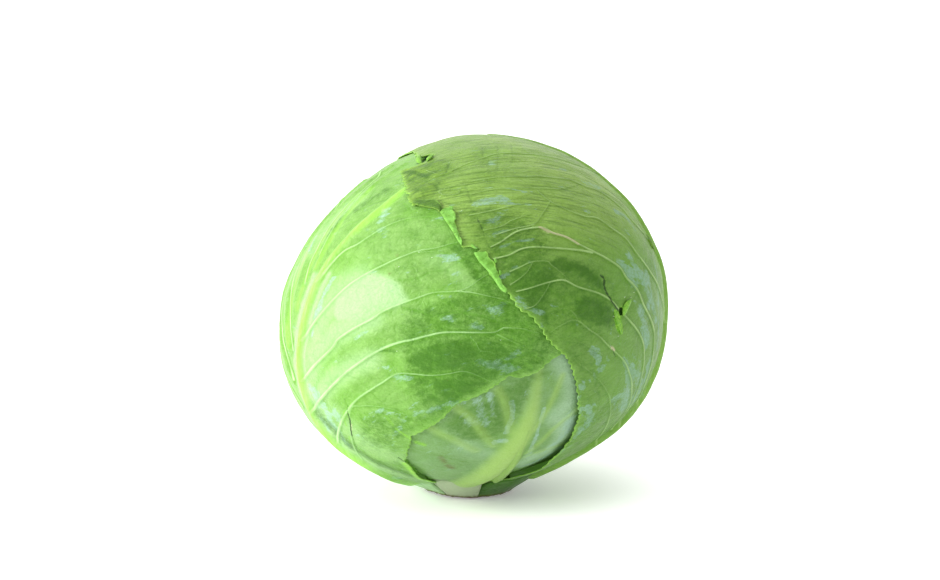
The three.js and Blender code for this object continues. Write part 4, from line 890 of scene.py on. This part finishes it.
class Nodes:
    """The node tree of a new material or world."""

    def __init__(self, owner):
        owner.use_nodes = True
        self.owner, self.nodes, self.links = owner, owner.node_tree.nodes, owner.node_tree.links
        self.shader = self.nodes.get("Principled BSDF") or self.nodes["Background"]

    def fill(self, node, inputs):
        for key, value in inputs.items():
            if isinstance(value, Value):
                self.links.new(value.socket, node.inputs[key])
            else:
                node.inputs[key].default_value = linear(value) if isinstance(value, str) else value

    def add(self, kind, inputs, output=0, **settings):
        node = self.nodes.new("ShaderNode" + kind)
        for key, value in settings.items():
            setattr(node, key, value)
        self.fill(node, inputs)
        return Value(self, node.outputs[output])

    def attribute(self, name, output="Fac"):
        return self.add("Attribute", {}, output, attribute_name=name)

    def math(self, operation, a, b, clamp=False):
        return self.add("Math", {0: a, 1: b}, operation=operation, use_clamp=clamp)

    def mix(self, factor, a, b):
        return self.add("Mix", {0: factor, 6: a, 7: b}, 2, data_type="RGBA")

    def noise(self, vector, scale, detail=4.0, roughness=0.5):
        return self.add("TexNoise", {"Vector": vector, "Scale": scale, "Detail": detail, "Roughness": roughness})

    def cells(self, vector, scale, feature="DISTANCE_TO_EDGE"):
        return self.add("TexVoronoi", {"Vector": vector, "Scale": scale}, "Distance", feature=feature)

    def scaled(self, vector, *scale):
        return self.add("Mapping", {"Vector": vector, "Scale": scale})

    def in_millimetres(self):
        return self.scaled(self.add("TexCoord", {}, "Object"), 1000.0, 1000.0, 1000.0)

    def shade(self, height=None, distance=0.0, strength=0.0, **values):
        """Set the shader's inputs (spaces as underscores), with a bump from height if there is one."""
        if height:
            values["Normal"] = self.add("Bump", {"Height": height, "Distance": distance, "Strength": strength},
                                        "Normal")
        self.fill(self.shader, {key.replace("_", " "): value for key, value in values.items()})
        return self.owner


def leaf_material(name, bare, deep, haze, wax, vein, rib, lip, under, light, hazy, seed, grain, streaks, wax_strength,
                  vein_strength, net_strength, crown=0.0, line_and_shade="#2f5a0e", wear_and_shade_depth=0.7):
    """Green leaf under a pale haze, which is gone along the veins, with thicker torn wax on top and darker patches that
    are partly rubbed-off wax and partly painted shade.
    """
    m = Nodes(bpy.data.materials.new(name))
    at = {kind: m.attribute(kind) for kind in KINDS + ("edge", "vein", "rib", "halo", "under")}
    place = m.add("Mapping", {"Vector": m.attribute("plane", "Vector"), "Location": (seed, 2 * seed, 0.0)})
    broad, medium, fine = (m.noise(place, *scale) for scale in ((0.035, 4.0, 0.55), (0.16, 6.0, 0.66), (0.9, 5.0, 0.7)))
    # darker patches from the dark paint: partly rubbed-off wax, partly painted shade
    wear_and_shade = (at["dark"] + m.noise(place, 0.3, 7.0, 0.78).step(0.3, 0.7, -0.3, 0.22)).step(0.16, 1.02)
    # net of fine veins
    warp = m.add("TexNoise", {"Vector": place, "Scale": 0.18, "Detail": 3.0}, "Color")
    warp = m.add("VectorMath", {0: warp, 1: (5.0, 5.0, 0.0)}, operation="MULTIPLY")
    bent = m.add("VectorMath", {0: place, 1: warp}, operation="ADD")
    net, small = m.cells(bent, 0.1), m.cells(bent, 0.36)
    kept = 1.0 - at["halo"] * 0.75
    kept = kept * (1.0 - net.step(0.0, 0.07, 1.0, 0.0) * net_strength)
    kept = kept * (1.0 - small.step(0.0, 0.13, 1.0, 0.0) * (net_strength * 0.6))
    # the haze, with yellower green near the top
    above = m.add("SeparateXYZ", {0: m.add("TexCoord", {}, "Object")}, "Z")
    upper = above.step(0.108, 0.14, 0.12, 1.0)
    amount = (medium * 0.7 + broad * 0.3).step(0.32, 0.68, 0.55 * hazy, 1.45 * hazy)
    amount = (amount + at["pale"] * 0.45 + upper * crown) * kept * (1.0 - wear_and_shade * 0.6)
    colour = m.mix(broad.step(0.35, 0.65, 0.0, 0.35), bare, deep)
    colour = m.mix(m.math("MULTIPLY", amount, 1.0, clamp=True), colour, haze)
    # pale paint lightens: partly paler wax, partly painted highlight (the window's reflection and the lit left flank of
    # the left leaf)
    colour = m.mix(at["pale"] * 0.55, colour, light)
    colour = m.mix(fine.step(0.35, 0.75, 0.0, 0.22), colour, deep)
    upper = m.math("ADD", upper, at["olive"], clamp=True)
    colour = m.mix(upper * crown, colour, "#93ac3e")
    colour = m.mix(above.step(0.138, 0.160, 0.0, 0.4) * crown, colour, deep)
    colour = m.mix(at["olive"], colour, m.mix(medium.step(0.35, 0.65), "#42681a", "#6f942e"))
    # wrinkles near the top, across the side veins
    turned = m.add("Mapping", {"Vector": place, "Rotation": (0.0, 0.0, -math.radians(grain))})
    streak = m.noise(m.scaled(turned, 0.05, 0.75, 1.0), 1.0, 5.0, 0.62).step(0.46, 0.72) * upper
    colour = m.mix(streak * streaks, colour, deep)
    # thick wax, streaky and torn, cut by the net of veins
    bloom = (m.noise(m.scaled(turned, 0.07, 0.16, 1.0), 1.0, 9.0, 0.72) + at["wax"] * 0.22).step(0.60, 0.68)
    bloom = bloom * m.noise(place, 0.7, 6.0, 0.8).step(0.36, 0.56, 0.25, 1.0) * kept * wax_strength
    colour = m.mix(bloom, colour, wax)
    # rubbed-off wax and painted shade turn the colour deep green
    colour = m.mix(wear_and_shade * wear_and_shade_depth, colour, deep)
    colour = m.mix(at["yellow"] * 0.8, colour, rib)
    colour = m.mix(at["fresh"].step(0.1, 0.7, 0.0, 0.85), colour, m.mix(fine.step(0.4, 0.6), "#5a9a1c", "#86b93a"))
    colour = m.mix(at["stem"].step(0.1, 0.8, 0.0, 0.9), colour, "#a9b595")
    # veins and midrib
    shown = m.noise(place, 0.09).step(0.3, 0.65, vein_strength * 0.5, vein_strength)
    colour = m.mix(at["vein"].step(0.25, 0.85) * shown, colour, vein)
    grainy = m.noise(m.scaled(place, 0.8, 0.08, 1.0), 1.0, 4.0, 0.6)
    clean = m.math("SUBTRACT", 1.0, at["dark"] * 0.9, clamp=True)
    colour = m.mix(at["rib"].step(0.0, 0.85, 0.0, 0.85) * clean, colour,
                   m.mix(grainy.step(0.35, 0.7, 0.0, 0.35), rib, vein))
    # underside (painted lighter, and glowing, as painted light in the gaps between leaves), margins, scars and cracks
    for factor, tint in (
            (at["under"] * 0.8, under), (at["lip"] * 0.8, m.mix(medium.step(0.4, 0.65), lip, bare)),
            (at["edge"] * medium.step(0.35, 0.65, 0.3, 0.7), "#8fc44e"), (at["scar"], "#c4b896"),
            # line paint: dark minor veins and the painted shade below the veins
            (at["drop"], "#dfe8d2"), (at["line"] * 0.6, line_and_shade),
            (at["brown"] * fine.step(0.3, 0.6, 0.3, 1.0), "#5b4a22"),
            # cracks painted near-black: painted shade inside them
            (at["crack"].step(0.15, 0.7, 0.0, 0.9), "#1f3a10"),
            (m.cells(place, 0.14, "F1").step(0.02, 0.055, 0.6, 0.0), "#5d6b2b")):
        colour = m.mix(factor, colour, tint)
    height = (fine * 0.35 + medium * 1.3 + net.step(0.0, 0.3, 0.0, net_strength)
              + small.step(0.0, 0.3, 0.0, net_strength * 0.5) - streak * (streaks * 0.9) - at["line"] * 0.6)
    # the underside glows a little: painted light in place of light coming through the leaves into the gaps
    return m.shade(height, 0.0006, 0.8, Base_Color=colour, Emission_Color=colour,
                   Emission_Strength=at["under"] * 0.16, Roughness=bloom * 0.2 + medium.step(0.3, 0.7, 0.33, 0.46),
                   Specular_IOR_Level=0.25, IOR=1.42)


def heart_material():
    m = Nodes(bpy.data.materials.new("heart leaves"))
    place = m.in_millimetres()
    colour = m.mix(m.noise(place, 0.05).step(0.35, 0.65), "#b8d488", "#9cbf66")
    lines = m.cells(place, 0.12).step(0.01, 0.06, 1.0, 0.0)
    # the heart glows green: painted light that lifts the deep gaps between the leaves
    return m.shade(lines, 0.0004, 0.5, Base_Color=m.mix(lines * 0.4, colour, "#d3e6a5"), Roughness=0.5,
                   Emission_Color="#4a7a26", Emission_Strength=0.5)


def stump_material():
    m = Nodes(bpy.data.materials.new("cut stump"))
    place = m.in_millimetres()
    x, z = (m.add("SeparateXYZ", {0: place}, axis) for axis in "XZ")
    mottle = m.noise(place, 0.28, 6.0, 0.65)
    fibre = m.noise(m.scaled(place, 0.5, 0.5, 0.3), 1.0, 5.0, 0.6)
    pale = m.mix(fibre.step(0.3, 0.7), "#c9d2bd", "#a3b48c")
    green = m.mix(mottle.step(0.35, 0.65), "#5d7d2c", "#8aa052")
    colour = m.mix((x + mottle * 10.0).step(6.0, 11.0), pale, green)
    rim = (z + fibre * -1.6).step(-0.2, 0.8, 1.0, 0.0)
    return m.shade(fibre, 0.0006, 0.6, Base_Color=m.mix(rim, colour, "#5f4424"), Roughness=0.75)


def dress(piece, node, material):
    piece.data.materials.append(material)
    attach(piece, ROOT)
    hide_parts(node)


dress(leaf_right.build(), "leaf_right", leaf_material(
    "right leaf", bare="#4e8219", deep="#2b570e", haze="#8bb062", wax="#84a795", vein="#a3c47c", rib="#6e9e2a",
    lip="#74b048", under="#6f9c48", light="#9cb862", hazy=0.27, crown=0.3, seed=13.0, grain=134.0, streaks=0.55,
    wax_strength=0.75, vein_strength=0.95, net_strength=0.3))
dress(leaf_left.build(), "leaf_left", leaf_material(
    "left leaf", bare="#57901a", deep="#30600c", haze="#9cc474", wax="#92b8a2", vein="#b4de98", rib="#8cc648",
    lip="#7db85c", under="#82b05a", light="#accea2", hazy=0.36, seed=47.0, grain=35.0, streaks=0.25,
    wax_strength=0.75, vein_strength=0.85, net_strength=0.28, line_and_shade="#4f8a16", wear_and_shade_depth=0.78))
inner = leaf_material(
    "inner leaf", bare="#5c8a2c", deep="#3c6618", haze="#8cac80", wax="#8fae9c", vein="#9dbd66", rib="#9abc60",
    lip="#7db85c", under="#7fa558", light="#a4c2a6", hazy=0.38, seed=91.0, grain=70.0, streaks=0.1,
    wax_strength=0.8, vein_strength=0.5, net_strength=0.15)
dress(leaf_front.build(), "leaf_front", inner)
dress(leaf_back.build(), "leaf_back", inner)
dress(heart_solid(), "heart", heart_material())
dress(stump_solid(), "stump", stump_material())


# ---- floor, light and camera, in metres ----

FLOOR_HALF = 6.0
mesh = bpy.data.meshes.new("floor")
mesh.from_pydata([(x * FLOOR_HALF, y * FLOOR_HALF, 0) for x, y in ((-1, -1), (1, -1), (1, 1), (-1, 1))], [],
                 [(0, 1, 2, 3)])
mesh.materials.append(Nodes(bpy.data.materials.new("pale floor")).shade(
    Base_Color=(0.93, 0.94, 0.93, 1), Roughness=0.6, Specular_IOR_Level=0.2, Emission_Color=(1, 1, 1, 1),
    Emission_Strength=0.25))
link(bpy.data.objects.new("floor", mesh))

# the room is bright above, behind and to the left, and dimmer on the camera's side
DIM, BRIGHT = 0.20, 1.45
TO_WINDOW = Vector((-0.30, 0.62, 0.72)).normalized()
world = Nodes(bpy.data.worlds.new("white studio"))
facing = world.add("VectorMath", {0: world.add("TexCoord", {}, "Generated"), 1: TO_WINDOW}, "Value",
                   operation="DOT_PRODUCT")
room = facing.step(-0.6, 0.9, DIM, BRIGHT, "LINEAR")
seen = world.add("LightPath", {}, "Is Camera Ray")
strength = world.add("Mix", {0: seen, 2: room, 3: 1.0}, 0, data_type="FLOAT")
bpy.context.scene.world = world.shade(Color=(1, 1, 1, 1), Strength=strength)
bpy.context.scene.view_settings.view_transform = "Standard"


def lamp(name, kind, power, towards, location=(0, 0, 0), **settings):
    light = bpy.data.lights.new(name, kind)
    light.energy = power
    for key, value in settings.items():
        setattr(light, key, value)
    lamp = link(bpy.data.objects.new(name, light))
    lamp.location = location
    lamp.rotation_euler = towards.to_track_quat("-Z", "Y").to_euler()


WINDOW = Vector((-1.25, -0.45, 0.5))
lamp("left window", "AREA", 22, Vector((0, 0, 0.08)) - WINDOW, WINDOW, shape="DISK", size=0.75)
lamp("sky", "SUN", 1.15, Vector((0.35, 0.12, -1.0)), angle=math.radians(90))

ELEVATION, DISTANCE = math.radians(10), 1.1
back = Vector((0, -math.cos(ELEVATION), math.sin(ELEVATION)))
up = Vector((0, math.sin(ELEVATION), math.cos(ELEVATION)))
camera = link(bpy.data.objects.new("camera", bpy.data.cameras.new("camera")))
camera.data.lens = 91.7
camera.data.sensor_width = 36
camera.data.sensor_fit = "HORIZONTAL"
camera.location = Vector((0.81, 0, 81.6)) * MM + up * 11.7 * MM + back * DISTANCE
camera.rotation_euler = (-back).to_track_quat("-Z", "Y").to_euler()
bpy.context.scene.camera = camera
